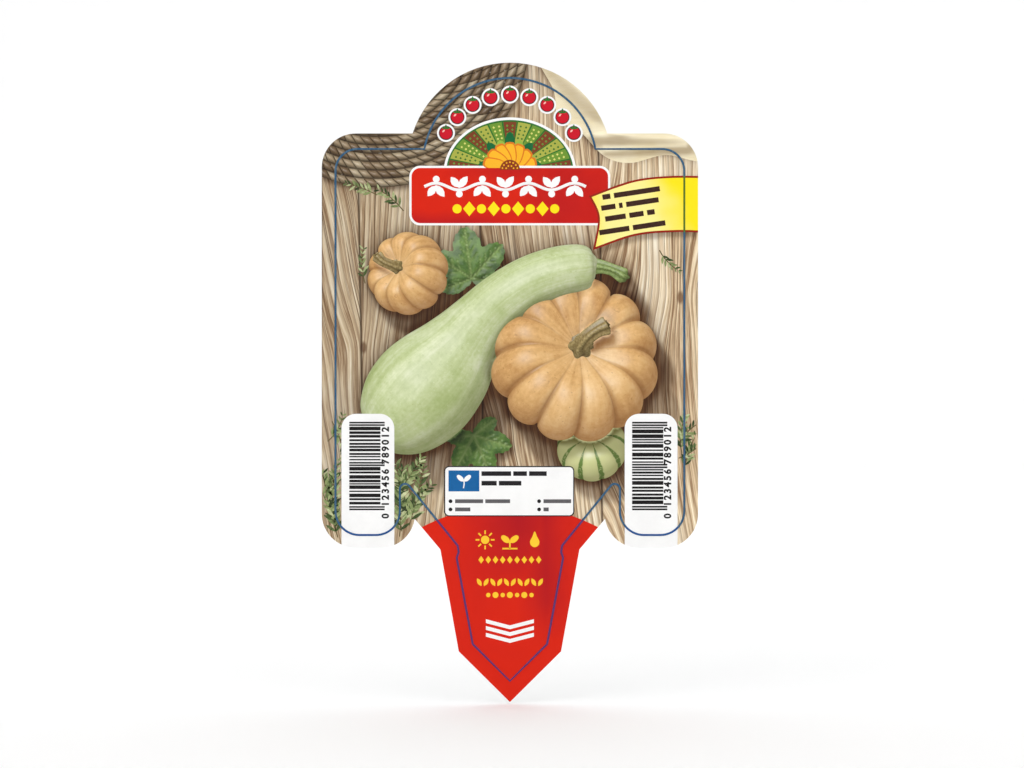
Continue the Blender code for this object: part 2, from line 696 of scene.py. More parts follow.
def ribbon(name, paths, width, top, material, closed=False, behind=False, depth=INK_DEPTH):
    """Printed lines of one width, each along a path of its own."""
    curve = bpy.data.curves.new(name, "CURVE")
    curve.dimensions = "3D"
    for path in paths:
        spline = curve.splines.new("POLY")
        spline.points.add(len(path) - 1)
        for point, (x, z) in zip(spline.points, path):
            point.co = (x * MM, ink_height(top, behind, depth) * MM, z * MM, 1.0)
        spline.use_cyclic_u = closed
    return from_tree(name, curve, ribbon_tree(), {"Width": width * MM, "Depth": depth * MM}, material)


# A font's size for each unit of a digit's height, and how far its strokes are thickened
DIGIT_SIZE = 1.38
DIGIT_WEIGHT = 0.05


def digits(name, rows, height, top, material, turn=0.0, behind=False):
    """Plain numbers in one piece. A row is (text, x, z), the place of the text's middle."""
    side = -1 if behind else 1
    a = math.radians(turn)
    build = bmesh.new()
    for text, x, z in rows:
        curve = bpy.data.curves.new(name, "FONT")
        curve.body = text
        curve.size = height * DIGIT_SIZE
        curve.offset = height * DIGIT_WEIGHT
        curve.align_x = "CENTER"
        curve.align_y = "CENTER"
        curve.extrude = INK_DEPTH / 2
        curve.resolution_u = 3
        mesh = plain_mesh(linked(name, curve))
        points = np.empty(len(mesh.vertices) * 3, np.float32)
        mesh.vertices.foreach_get("co", points)
        u, v, w = points.reshape(-1, 3).T
        across, up = u * math.cos(a) - v * math.sin(a), u * math.sin(a) + v * math.cos(a)
        placed = np.stack([x + side * across, ink_height(top, behind) - side * w, z + up], axis=1)
        mesh.vertices.foreach_set("co", placed.astype(np.float32).ravel())
        build.from_mesh(mesh)
        bpy.data.meshes.remove(mesh)
    bmesh.ops.remove_doubles(build, verts=build.verts, dist=1e-4)
    bmesh.ops.recalc_face_normals(build, faces=build.faces)
    bmesh.ops.triangulate(build, faces=build.faces)
    build.verts.index_update()
    points = [tuple(v.co) for v in build.verts]
    faces = [[v.index for v in face.verts] for face in build.faces]
    build.free()
    return piece(name, points, faces, material)


def sheet_outline():
    """The sheet's edge as one counter-clockwise loop, seen from the front, read from its solid."""
    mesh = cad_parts["label_sheet"].data
    points = np.empty(len(mesh.vertices) * 3, np.float32)
    mesh.vertices.foreach_get("co", points)
    points = np.round(points.reshape(-1, 3).astype(float) / MM, 3)
    edges = set()
    for face in mesh.polygons:
        corners = points[list(face.vertices)]
        if np.abs(corners[:, 1] - FRONT).max() < 0.01:
            spots = [tuple(corner[[0, 2]].tolist()) for corner in corners]
            edges |= set(zip(spots, [*spots[1:], spots[0]]))
    onward = {a: b for a, b in edges if (b, a) not in edges}
    loop = [min(onward)]
    while onward[loop[-1]] != loop[0]:
        loop.append(onward[loop[-1]])
    area = sum(ax * bz - bx * az for (ax, az), (bx, bz) in zip(loop, [*loop[1:], loop[0]]))
    return loop if area > 0 else loop[::-1]


# The picture's table: heights, daylight and shadow

class TableTop:
    """Heights of all that lies on the boards, for the shade that things cast on each other."""

    STEP = 0.4
    LEFT, LOW = -54.0, -10.0
    COLUMNS, ROWS = 270, 345
    DAYLIGHT = np.array([-0.28, 0.84, 0.50])
    DIRECT = 0.62

    # How far a shadow is followed, in steps, and how dark the flag's own shadow is
    SHADOW_STEPS = 100
    FLAG_SHADOW = 0.55

    # How far open sky is looked for, in millimetres, and how much each distance counts
    SKY = ((1.0, 0.40), (3.0, 0.36), (8.0, 0.20))
    GLEAM_POWER = 22

    def __init__(self):
        self.height = np.zeros((self.ROWS, self.COLUMNS))
        x = self.LEFT + self.STEP * (np.arange(self.COLUMNS) + 0.5)
        z = self.LOW + self.STEP * (np.arange(self.ROWS) + 0.5)
        self.cells = np.stack([a.ravel() for a in np.meshgrid(x, z)], axis=1)
        self.daylight = self.DAYLIGHT / np.linalg.norm(self.DAYLIGHT)
        self.ambient = 1 - self.DIRECT * self.daylight[1]

    def lay_field(self, loop, height):
        """Lays a flat thing by its outline and height."""
        found = inside([loop], self.cells)
        layer = np.zeros(len(self.cells))
        layer[found] = height(self.cells[found])
        self.height = np.maximum(self.height, layer.reshape(self.height.shape))

    def lay_points(self, points):
        """Lays a body by closely set points of its surface."""
        layer = np.zeros_like(self.height)
        column = np.clip(((points[:, 0] - self.LEFT) / self.STEP).astype(int), 0, self.COLUMNS - 1)
        row = np.clip(((points[:, 2] - self.LOW) / self.STEP).astype(int), 0, self.ROWS - 1)
        np.maximum.at(layer, (row, column), points[:, 1])
        beside = self.around(layer)
        layer = np.where(layer > 0, layer, np.where((beside > 0).sum(axis=0) > 2, beside.max(axis=0), 0))
        self.height = np.maximum(self.height, layer)

    def around(self, layer):
        """The four neighbours of every cell."""
        return np.stack([np.roll(layer, shift, (0, 1)) for shift in ((1, 0), (-1, 0), (0, 1), (0, -1))])

    def blurred(self, layer, spread):
        """A layer blurred over a distance in millimetres."""
        rows = np.fft.fftfreq(self.ROWS)[:, None]
        columns = np.fft.rfftfreq(self.COLUMNS)[None, :]
        soft = np.exp(-2 * (math.pi * spread / self.STEP) ** 2 * (rows ** 2 + columns ** 2))
        return np.fft.irfft2(np.fft.rfft2(layer) * soft, s=layer.shape)

    def light(self, shaded_loop):
        """Works out the daylight and open sky over the bare boards and over what lies on them."""
        flat = np.linalg.norm(self.daylight[[0, 2]])
        along = self.daylight[[0, 2]] / flat
        rise = self.daylight[1] / flat
        grown = self.height
        for _ in range(3):
            grown = np.maximum(grown, self.around(grown).max(axis=0) * (grown <= 0.01))
        shaded = inside([shaded_loop], self.cells).reshape(self.height.shape).astype(float)
        cover = 1 - self.FLAG_SHADOW * self.blurred(shaded, 0.35)
        self.sun, self.sky = {}, {}
        for name, level in (("board", 0 * self.height), ("body", grown)):
            hidden = np.zeros_like(self.height)
            for i in range(1, self.SHADOW_STEPS):
                reach = i * self.STEP
                shift = (-round(along[1] * i), -round(along[0] * i))
                over = np.roll(self.height, shift, (0, 1)) - level - reach * rise - 0.5
                hidden = np.maximum(hidden, np.clip(over / (0.6 + 0.30 * reach), 0, 1))
            self.sun[name] = self.blurred(1 - hidden, 0.4) * cover
            closed = sum(share * np.maximum(self.blurred(self.height, spread) - level, 0) / spread
                         for spread, share in self.SKY)
            self.sky[name] = np.exp(-closed) * cover

    def read(self, layer, x, z):
        """The value of a layer between its cells."""
        column = np.clip((x - self.LEFT) / self.STEP - 0.5, 0, self.COLUMNS - 1.001)
        row = np.clip((z - self.LOW) / self.STEP - 0.5, 0, self.ROWS - 1.001)
        c, r = column.astype(int), row.astype(int)
        dc, dr = column - c, row - r
        low = layer[r, c] * (1 - dc) + layer[r, c + 1] * dc
        high = layer[r + 1, c] * (1 - dc) + layer[r + 1, c + 1] * dc
        return low * (1 - dr) + high * dr

    def shade(self, points, out):
        """How strongly each point is lit, and how much it gleams."""
        sun = self.read(self.sun["body"], points[:, 0], points[:, 2])
        sky = self.read(self.sky["body"], points[:, 0], points[:, 2])
        facing = np.clip(out @ self.daylight, 0, 1)
        dome = self.ambient * (0.68 + 0.32 * out[:, 1])
        half = self.daylight + np.array([0.0, 1.0, 0.0])
        half /= np.linalg.norm(half)
        gleam = np.clip(out @ half, 0, 1) ** self.GLEAM_POWER * sun
        return self.DIRECT * facing * sun + dome * sky, gleam

    def board_shade(self, x, z):
        """How strongly the bare boards are lit."""
        sun = self.read(self.sun["board"], x, z)
        sky = self.read(self.sky["board"], x, z)
        return self.DIRECT * self.daylight[1] * sun + self.ambient * sky


class Body:
    """One pictured round thing: rings of points (x, height, z) between two end points."""

    def __init__(self, rings, groove):
        self.rings = rings
        count, around = rings.shape[:2]
        self.first = rings[0].mean(axis=0)
        self.last = rings[-1].mean(axis=0)
        self.numbers = {
            "groove": groove,
            "along": np.repeat(np.linspace(0, 1, count), around).reshape(count, around),
            "around": np.tile(np.linspace(0, 2 * math.pi, around, endpoint=False), (count, 1))}

    def lay(self, table):
        """Puts its surface on the table, with three points more in each stretch both ways."""
        shares = (0, 0.25, 0.5, 0.75)
        run = np.diff(self.rings, axis=0)
        fine = np.concatenate([self.rings[:-1] + run * share for share in shares], axis=0)
        turn = np.roll(fine, -1, axis=1) - fine
        fine = np.concatenate([fine + turn * share for share in shares], axis=1)
        table.lay_points(fine.reshape(-1, 3))

    def normals(self):
        """Outward directions of the full shape at each of its points."""
        run = np.gradient(self.rings, axis=0)
        turn = np.roll(self.rings, -1, axis=1) - np.roll(self.rings, 1, axis=1)
        out = np.cross(turn, run)
        out /= np.maximum(np.linalg.norm(out, axis=2), 1e-9)[:, :, None]
        centre = self.rings.mean(axis=1, keepdims=True)
        if ((self.rings - centre) * out).sum() < 0:
            out = -out
        ends = [end / max(np.linalg.norm(end), 1e-9) for end in (out[0].mean(axis=0), out[-1].mean(axis=0))]
        return np.concatenate([out.reshape(-1, 3), ends])

    def faces(self):
        """Quads between the rings and a fan of triangles at each end."""
        count, around = self.rings.shape[:2]
        here = np.arange(around)
        onward = (here + 1) % around
        made = []
        for row in range(0, (count - 1) * around, around):
            beyond = row + around
            made += np.stack([row + here, row + onward, beyond + onward, beyond + here], 1).tolist()
        end = count * around
        tail = end - around
        made += [(end, int(k), int(j)) for j, k in zip(here, onward)]
        made += [(end + 1, int(tail + j), int(tail + k)) for j, k in zip(here, onward)]
        return made

    def print(self, name, material, table):
        """Presses the lit shape flat on the sheet as a piece."""
        points = np.concatenate([self.rings.reshape(-1, 3), [self.first, self.last]])
        out = self.normals()
        shade, gleam = table.shade(points, out)
        numbers = {"shade": shade, "gleam": gleam}
        for key, values in self.numbers.items():
            numbers[key] = np.concatenate([np.ravel(values), np.ravel(values)[[0, -1]]])
        flat = np.stack([points[:, 0], FRONT - PICTURE_LEVEL - FLATTEN * points[:, 1], points[:, 2]], axis=1)
        faces = self.faces()
        corners = [points[[face[i] for face in faces]] for i in range(3)]
        area = np.cross(corners[1] - corners[0], corners[2] - corners[0])
        if (area * out[[face[0] for face in faces]]).sum() > 0:
            faces = [face[::-1] for face in faces]
        return piece(name, flat, faces, material, numbers, {"spot": points * MM})


class Cover:
    """One pictured flat thing: an outline and a height over the boards at each place."""

    def __init__(self, loop, height, step=0.6, within=None, numbers=None):
        self.loop = loop
        self.height = height
        self.step = step
        self.within = within
        self.numbers = numbers

    def lay(self, table):
        table.lay_field(self.loop, self.height)

    def print(self, name, material, table):
        """Presses the lit shape flat on the sheet as a piece."""
        reach = 0.05

        def slope(flat, x, z):
            shift = np.array([x, z]) * reach
            return (self.height(flat + shift) - self.height(flat - shift)) / (2 * reach)

        def numbers(flat):
            out = np.stack([-slope(flat, 1, 0), np.ones(len(flat)), -slope(flat, 0, 1)], axis=1)
            out /= np.linalg.norm(out, axis=1)[:, None]
            points = np.stack([flat[:, 0], self.height(flat), flat[:, 1]], axis=1)
            shade, gleam = table.shade(points, out)
            return {"shade": shade, "gleam": gleam, **(self.numbers(flat) if self.numbers else {})}

        inner = grid_inside([self.loop, *([self.within] if self.within else [])], self.step, 0.3 * self.step)
        return slab(name, [self.loop], PICTURE_LEVEL, material, inner=inner, within=self.within,
                    reach=lambda flat: PICTURE_LEVEL + FLATTEN * self.height(flat), numbers=numbers)


# The things in the picture

def long_body(points, around, count, ridges, ridge):
    """A round body along points of (x, height, z, radius), with its seam underneath.

    It has points around it, a count of rings in each stretch, and ridges of a given height.
    """
    path = np.array(smooth(points, count))
    centre, radius = path[:, :3], np.maximum(path[:, 3], 0.02)
    run = np.gradient(centre, axis=0)
    run /= np.linalg.norm(run, axis=1)[:, None]
    side = np.cross(run, [0.0, 1.0, 0.0])
    side /= np.linalg.norm(side, axis=1)[:, None]
    over = np.cross(side, run)
    angles = np.linspace(-math.pi, math.pi, around, endpoint=False)
    wave = 1 + ridge * np.cos(ridges * angles)
    out = np.cos(angles)[None, :, None] * over[:, None] + np.sin(angles)[None, :, None] * side[:, None]
    rings = centre[:, None] + out * radius[:, None, None] * wave[None, :, None]
    return Body(rings, np.tile((1 - np.cos(ridges * angles)) / 2, (len(path), 1)))


def ribbed_body(x, z, radius, height, ribs, depth, lean, lean_way, around=240, count=64,
                dimple=0.45):
    """A ribbed squash that stands on the boards and leans towards a direction in degrees."""
    down = np.linspace(0, math.pi, count + 2)[1:-1]
    turn = np.linspace(-math.pi, math.pi, around, endpoint=False)
    valley = 1 - np.abs(np.sin(ribs * turn / 2)) ** 0.55
    spread = radius * np.sin(down) ** 0.82
    up = height * np.cos(down) * (1 - dimple * np.exp(-(down / 0.5) ** 2))
    rib = 1 - depth * valley
    rings = np.stack([
        spread[:, None] * rib * np.cos(turn),
        up[:, None] * (1 - 1.6 * depth * valley * np.sin(down)[:, None]),
        spread[:, None] * rib * np.sin(turn)], axis=2)
    a, way = math.radians(lean), math.radians(lean_way)
    towards = np.array([math.cos(way), 0.0, math.sin(way)])
    upright = np.array([0.0, 1.0, 0.0])
    across = np.cross(upright, towards)
    u, v, w = rings @ towards, rings @ upright, rings @ across
    rings = ((u * math.cos(a) + v * math.sin(a))[:, :, None] * towards
             + (v * math.cos(a) - u * math.sin(a))[:, :, None] * upright + w[:, :, None] * across)
    rings += np.array([x, -rings[:, :, 1].min(), z])
    return Body(rings, np.tile(valley, (count, 1)) * np.sin(down)[:, None] ** 0.5)


def distance_to(flat, a, b):
    """How far points are from a straight stretch."""
    a, b = np.array(a), np.array(b)
    share = np.clip(((flat - a) @ (b - a)) / ((b - a) @ (b - a)), 0, 1)
    return np.linalg.norm(flat - a - share[:, None] * (b - a), axis=1)


# A lobe of a broad leaf: its direction from the middle one in degrees, and its length
LOBES = ((0, 1.0), (50, 0.88), (-50, 0.88), (104, 0.62), (-104, 0.62))
LOBE_SPREAD = 33
EDGE_POINTS = 150

# Where side veins leave a main one, and how far they lean from it in degrees
SIDE_VEINS = (0.3, 0.48, 0.66, 0.82)
SIDE_LEAN = 42


def lobed_leaf(x, z, size, way, base, lift, seed):
    """A broad leaf with five lobes, its stalk's end at (x, z), pointing in a direction in degrees."""
    draw = random.Random(seed)
    loop = []
    for i in range(EDGE_POINTS):
        turn = -180 + 360 * i / EDGE_POINTS
        reach = 0.16
        for angle, out in LOBES:
            away = abs((turn - angle + 180) % 360 - 180) / LOBE_SPREAD
            reach = max(reach, out * (1 - 0.52 * min(away, 1.35) ** 1.5))
        notch = math.exp(-((180 - abs(turn)) / 22) ** 2)
        reach = reach * (1 - 0.75 * notch) + 0.018 * math.sin(i * 1.9) + draw.uniform(-0.006, 0.006)
        loop.append(toward(x, z, way + turn, size * reach))
    veins, side_veins = [], []
    for angle, out in LOBES:
        start, end = np.array([x, z]), np.array(toward(x, z, way + angle, 0.94 * out * size))
        veins.append((start, end))
        for share in SIDE_VEINS:
            foot = start + share * (end - start)
            for lean in (SIDE_LEAN, -SIDE_LEAN):
                reach = 0.30 * out * size * (1.15 - share)
                side_veins.append((foot, toward(*foot, way + angle + lean, reach)))

    def veined(flat):
        main = np.min([distance_to(flat, *vein) for vein in veins], axis=0)
        side = np.min([distance_to(flat, *vein) for vein in side_veins], axis=0)
        return np.maximum(np.exp(-(main / 0.30) ** 2), 0.6 * np.exp(-(side / 0.22) ** 2)), main

    def height(flat):
        vein, main = veined(flat)
        out = np.linalg.norm(flat - np.array([x, z]), axis=1) / size
        quilt = 0.45 * np.minimum(main / 1.6, 1) ** 0.8
        return base + lift * (1 - (1.15 * out - 0.35) ** 2) + quilt - 0.35 * vein

    return Cover(loop, height, 0.42, numbers=lambda flat: {"vein": veined(flat)[0]})


MAT_CENTRE = (-33.0, 128.5)
MAT_RADIUS = 38.0
STRAND_LENGTH = 2.5
STRAND_SLANT = 0.42


def mat_parts(flat):
    """For points on the straw mat: place across the cord, place along its strands, and turn number."""
    cord = picture().cord_width / MM
    away = flat - np.array(MAT_CENTRE)
    out = np.linalg.norm(away, axis=1)
    angle = np.arctan2(away[:, 1], away[:, 0])
    ring = (MAT_RADIUS - out) / cord + 0.06 * np.sin(angle * 9)
    number = np.floor(ring)
    across = (ring - number) * 2 - 1
    along = angle * (MAT_RADIUS - number * cord) / STRAND_LENGTH + number * 0.37
    return across, along + STRAND_SLANT * across, number


def straw_mat(sheet):
    """A round mat of coiled straw that comes in at the top left corner."""

    def height(flat):
        across, along, _ = mat_parts(flat)
        twist = along % 1.0 * 2 - 1
        strand = np.sqrt(np.clip(1 - np.abs(twist) ** 2.6, 0, 1))
        cord = np.sqrt(np.clip(1 - np.abs(across) ** 2.2, 0, 1))
        return 1.2 + 1.5 * cord + 0.95 * strand * cord

    def numbers(flat):
        across, along, number = mat_parts(flat)
        tone = (np.sin(np.floor(along) * 12.99 + number * 78.2) * 43758.5) % 1.0
        return {"tone": tone, "edge": np.abs(across), "strand": along, "ring": number}

    return Cover(disc(*MAT_CENTRE, MAT_RADIUS, 160), height, 0.28, sheet, numbers)


# Outline of the linen, counter-clockwise, and its folds: (start, end, width, height)
LINEN = ((7.0, 127.0), (11.0, 114.5), (12.0, 107.5), (17.5, 104.5), (23.5, 98.4), (30.0, 96.6),
         (39.0, 98.6), (49.0, 97.2), (58.0, 104.0), (56.0, 122.0), (30.0, 130.0))
FOLDS = (((9.0, 123.0), (27.0, 106.5), 2.8, 5.6), ((20.0, 103.6), (52.0, 102.2), 2.2, 4.4),
         ((20.0, 125.0), (50.0, 109.0), 3.8, 4.6), ((24.0, 99.6), (44.0, 100.4), 1.1, 1.7))


def linen(sheet):
    """A cream linen cloth with soft folds that comes in at the top right."""

    def height(flat):
        rise = 1.0 + 0.3 * np.sin(flat[:, 0] * 0.5 + flat[:, 1] * 0.3)
        for start, end, width, tall in FOLDS:
            rise = rise + tall * np.exp(-(distance_to(flat, start, end) / width) ** 2)
        return rise

    return Cover(smooth(LINEN, 8, closed=True), height, 0.6, sheet)


# A sprig: (start x, start z, direction, length, bend, pairs of leaflets, leaflet length)
SPRIGS = (
    (-33.2, 88.6, 152, 7.5, 14, 7, 2.6), (-26.6, 84.6, 128, 7.5, 22, 7, 2.6),
    (-36.2, 66.5, 105, 8.0, -24, 7, 2.3),
    (-43.0, 3.0, 108, 16.0, -10, 16, 3.6), (-45.2, 6.0, 80, 12.0, 10, 12, 3.2),
    (-27.0, 4.5, 100, 15.0, -22, 15, 3.6), (-25.2, 6.0, 72, 14.0, 8, 14, 3.4),
    (-28.2, 14.0, 50, 10.0, 12, 10, 3.0), (43.0, 24.0, 100, 9.0, -30, 9, 3.0),
    (-43.5, 4.5, 96, 15.0, 16, 14, 3.4), (-44.6, 9.0, 118, 9.0, -20, 8, 2.9),
    (-41.0, 2.5, 66, 12.0, 30, 10, 3.0), (-46.0, 13.0, 60, 9.0, 24, 8, 2.8),
    (-27.6, 3.2, 84, 17.5, 18, 16, 3.5), (-26.0, 7.6, 60, 10.0, -14, 9, 3.0),
    (-29.0, 10.0, 74, 13.0, -26, 11, 3.0), (-24.8, 7.9, 104, 8.5, 10, 8, 2.7),
    (-45.6, 27.0, 40, 7.0, 40, 6, 2.2), (-44.5, 32.0, -60, 7.5, -20, 7, 2.3),
    (42.2, 22.8, 22, 8.0, 26, 8, 2.9), (42.0, 26.0, 62, 8.5, -36, 8, 2.9),
    (43.4, 19.4, 78, 9.0, -12, 8, 2.7), (37.4, 74.8, -62, 6.5, 30, 6, 2.2),
)


def sprig_rows(sheet):
    """Rows of leaflets and the stems of the small leafy sprigs on the boards."""
    draw = random.Random(11)
    leaves, stems = [], []
    for x, z, way, reach, bend, pairs, leaf in SPRIGS:
        path = []
        for i in range(pairs * 2 + 1):
            share = i / (pairs * 2)
            path.append((x, z))
            x, z = toward(x, z, way + bend * share, reach / (pairs * 2))
            if i % 2 or i == 0:
                continue
            for side in (1, -1):
                size = leaf * (1.0 - 0.45 * share) * draw.uniform(0.8, 1.15)
                turn = way + bend * share + side * draw.uniform(28, 56)
                leaves.append((*toward(x, z, turn, 0.5 * size), size, 0.22 * size + 0.14, turn))
        stems.append(path)
    edge = [inset(sheet, 0.2)]
    ends = [[toward(x, z, turn, share * size) for x, z, size, _, turn in leaves]
            for share in (-0.5, 0.0, 0.5)]
    kept = np.all([inside(edge, np.array(spots)) for spots in ends], axis=0)
    inner_stems = [[p for p, good in zip(path, inside(edge, np.array(path))) if good] for path in stems]
    return [leaf for leaf, good in zip(leaves, kept) if good], [path for path in inner_stems if len(path) > 2]


FLAG_TOP = ((19.8, 88.35), (26.5, 90.9), (32.5, 92.6), (40.5, 93.35), (50.0, 93.3))
FLAG_LOW = ((50.0, 79.1), (41.3, 79.35), (31.3, 78.4), (20.8, 74.85))
FLAG_LEFT = (22.0, 82.85)


def flag_loop():
    """The flag's outline, which runs off the sheet's right edge."""
    left = smooth([FLAG_LOW[-1], FLAG_LEFT, FLAG_TOP[0]], 10)
    return (smooth(FLAG_TOP, 8) + smooth(FLAG_LOW, 8) + left[1:-1])[::-1]


class Picture:
    """The whole still life, laid out and lit."""

    def __init__(self):
        self.sheet = sheet_outline()
        self.inner_sheet = inset(self.sheet, 0.02)
        self.table = TableTop()
        self.bodies = self.round_things(picture())
        self.covers = self.flat_things(picture())
        self.leaves, self.stems = sprig_rows(self.sheet)
        for thing in [*self.bodies.values(), *self.covers.values()]:
            thing.lay(self.table)
        for x, z, size, _, turn in self.leaves:
            spots = (toward(x, z, turn, share * size) for share in np.linspace(-0.45, 0.45, 8))
            self.table.lay_points(np.array([(across, 1.0, up) for across, up in spots]))
        self.table.light([(x + 0.8, z - 1.3) for x, z in flag_loop()])

    def round_things(self, look):
        big, small, round_one = (value / MM for value in (
            look.pumpkin_radius, look.small_radius, look.round_radius))
        bodies = {}
        bodies["pumpkin"] = ribbed_body(16.0, 47.5, big, 14.5, look.pumpkin_ribs, 0.115, 24, 62)
        x, up, z = bodies["pumpkin"].first
        bodies["pumpkin_stem"] = long_body([
            (x, up - 1.5, z, 3.4), (x + 0.1, up + 0.4, z + 0.1, 2.7), (x + 0.5, up + 2.4, z + 1.0, 2.0),
            (x + 2.0, up + 4.0, z + 2.8, 1.75), (x + 4.4, up + 4.6, z + 4.6, 1.8),
            (x + 6.6, up + 4.4, z + 5.6, 2.1), (x + 6.8, up + 4.4, z + 5.7, 0.4)], 60, 7, 5, 0.16)
        bodies["small_squash"] = ribbed_body(-25.5, 69.0, small, 8.6, 10, 0.10, 38, 150)
        x, up, z = bodies["small_squash"].first
        bodies["small_squash_stem"] = long_body([
            (x, up - 1.2, z, 2.0), (x - 0.2, up + 0.2, z + 0.1, 1.6), (x - 1.6, up + 1.5, z + 0.6, 1.2),
            (x - 3.8, up + 1.9, z + 1.6, 1.15), (x - 5.2, up + 1.7, z + 2.9, 1.35),
            (x - 5.3, up + 1.7, z + 3.0, 0.3)], 50, 7, 5, 0.16)
        bodies["round_squash"] = ribbed_body(20.5, 25.6, round_one, 7.4, 10, 0.035, 30, 100, 160, 48, 0.28)
        x, up, z = bodies["round_squash"].first
        bodies["round_squash_stem"] = long_body([
            (x - 0.1, up - 1.0, z - 0.1, 1.7), (x, up + 0.3, z, 1.3), (x + 0.5, up + 1.4, z + 0.7, 0.95),
            (x + 2.1, up + 1.8, z + 1.4, 0.9), (x + 3.5, up + 1.6, z + 1.6, 1.05),
            (x + 3.6, up + 1.6, z + 1.6, 0.25)], 50, 7, 5, 0.16)
        bodies["gourd"] = long_body([
            (-34.9, 13.0, 28.0, 0.4), (-34.3, 13.0, 28.4, 3.6), (-32.0, 13.2, 30.2, 8.4),
            (-27.6, 13.6, 34.0, 12.2), (-21.8, 13.9, 39.6, 13.7), (-16.2, 14.2, 45.6, 12.5),
            (-11.6, 15.4, 51.4, 9.9), (-7.2, 17.6, 57.0, 7.9), (-1.6, 19.8, 62.6, 6.9),
            (5.2, 20.6, 67.0, 6.5), (12.6, 20.0, 69.6, 6.3), (18.6, 18.6, 70.6, 5.6),
            (20.6, 18.2, 70.8, 3.6), (21.0, 18.1, 70.8, 1.6)], 110, 9, 10, 0.006)
        bodies["gourd_stem"] = long_body([
            (19.9, 18.2, 70.8, 2.3), (21.2, 18.3, 70.8, 1.9), (23.2, 18.6, 70.6, 1.5),
            (25.8, 18.8, 69.8, 1.35), (28.4, 18.6, 68.4, 1.7), (28.6, 18.5, 68.3, 0.3)], 50, 7, 5, 0.17)
        return bodies

    def flat_things(self, look):
        size = look.leaf_length / MM
        return {"large_leaf": lobed_leaf(-9.6, 67.8, size * 0.72, 98, 6.0, 3.0, 3),
                "low_leaf": lobed_leaf(-9.0, 28.6, size * 0.62, -68, 2.0, 3.0, 5),
                "straw_mat": straw_mat(self.inner_sheet),
                "linen": linen(self.inner_sheet)}


LAID = {}


def laid():
    """The still life, laid out once for all the steps that print its things."""
    if "picture" not in LAID:
        LAID["picture"] = Picture()
    return LAID["picture"]


# Finishes of the pictured things

# A knot in the boards: (x, z, size)
KNOTS = ((-36.6, 50.5, 1.5), (31.4, 12.4, 0.8), (42.6, 63.0, 1.6), (-2.0, 24.5, 1.0))
BOARD_WIDTH = 30.0


def board_finish():
    """Weathered boards that run up the picture, each cut from its own log through growth rings."""
    finish = Finish("boards")
    x, y, z = finish.place()
    knot, bend = 0.0, 0.0
    for kx, kz, size in KNOTS:
        near = ((x - kx) * (x - kx) + (z - kz) * (z - kz) * 0.30).root()
        bend = near.fading(size * 2.2) * (x - kx) * 1.3 + bend
        knot = (1.0 - near.step(size * 0.30, size * 0.75)).most(knot)
    sway = finish.noise(finish.vector(x * 0.02, y, z * 0.02), 1.0, 1.0)
    across = (x + z * 0.012 + (sway - 0.5) * 1.5) / BOARD_WIDTH + 0.22
    count = across.floor()
    away = (across.part() - 0.5) * BOARD_WIDTH
    seam = away.size().step(0.5 * BOARD_WIDTH - 0.42, 0.5 * BOARD_WIDTH - 0.10)
    chance = finish.node("ShaderNodeSeparateXYZ", None, [
        finish.term("ShaderNodeTexWhiteNoise", {"noise_dimensions": "1D"}, {"W": count + 17.0}, "Color")])
    first, second, third = (Term(finish, chance.outputs[i]) for i in range(3))
    warp = finish.noise(finish.vector(away * 0.07, count * 3.1, z * 0.012), 1.0, 2.0)
    beside = away + bend + 24.0 + first * 12.0 + (third - 0.5) * (z - 45.0) * 0.42 + (warp - 0.5) * 6.0
    under = (z * 0.035 + second * 9.0).sine() * 8.0 + 9.0
    ring = (beside * beside + under * under).root() * 0.74
    year = finish.term("ShaderNodeTexWhiteNoise", {"noise_dimensions": "1D"},
                       {"W": ring.floor() + count * 57.0})
    late = ring.part() ** 3.2 * (1.0 - ring.part().step(0.92, 1.0))
    streak = finish.noise(finish.vector(ring * 2.5, count, z * 0.045), 1.0, 4.0, 0.62)
    fibre = finish.noise(finish.vector(ring * 6.0, count, z * 0.16), 1.0, 3.0, 0.6)
    patch = finish.noise(finish.vector(away * 0.09, count * 7.7, z * 0.03), 1.0, 3.0, 0.5)
    crack = finish.noise(finish.vector(ring * 3.0, count + 9.0, z * 0.020), 1.0, 2.0, 0.4)
    tone = finish.ramp(
        streak * 0.66 + fibre * 0.34 + (patch - 0.5) * 0.30 + (year - 0.5) * 0.12,
        (0.31, paint(118, 87, 58)), (0.40, paint(158, 129, 98)), (0.48, paint(200, 176, 142)),
        (0.57, paint(226, 208, 176)), (0.68, paint(247, 238, 216)))
    tone = finish.mix(patch.step(0.50, 0.72) * 0.32, tone, paint(186, 176, 160))
    tone = finish.mix((late * (streak.step(0.28, 0.60) * 0.5 + 0.45)).held(), tone, paint(116, 82, 54))
    tone = finish.mix(crack.step(0.61, 0.66) * 0.75, tone, paint(96, 68, 44))
    tone = finish.mix(knot * 0.8, tone, paint(104, 70, 44))
    tone = finish.mix(seam * 0.85, tone, paint(70, 50, 36))
    tone = finish.strength(tone, x.step(-45.0, 45.0) * 0.30 + 0.91)
    return finish.printed(finish.lit(tone, paint(92, 64, 42)))


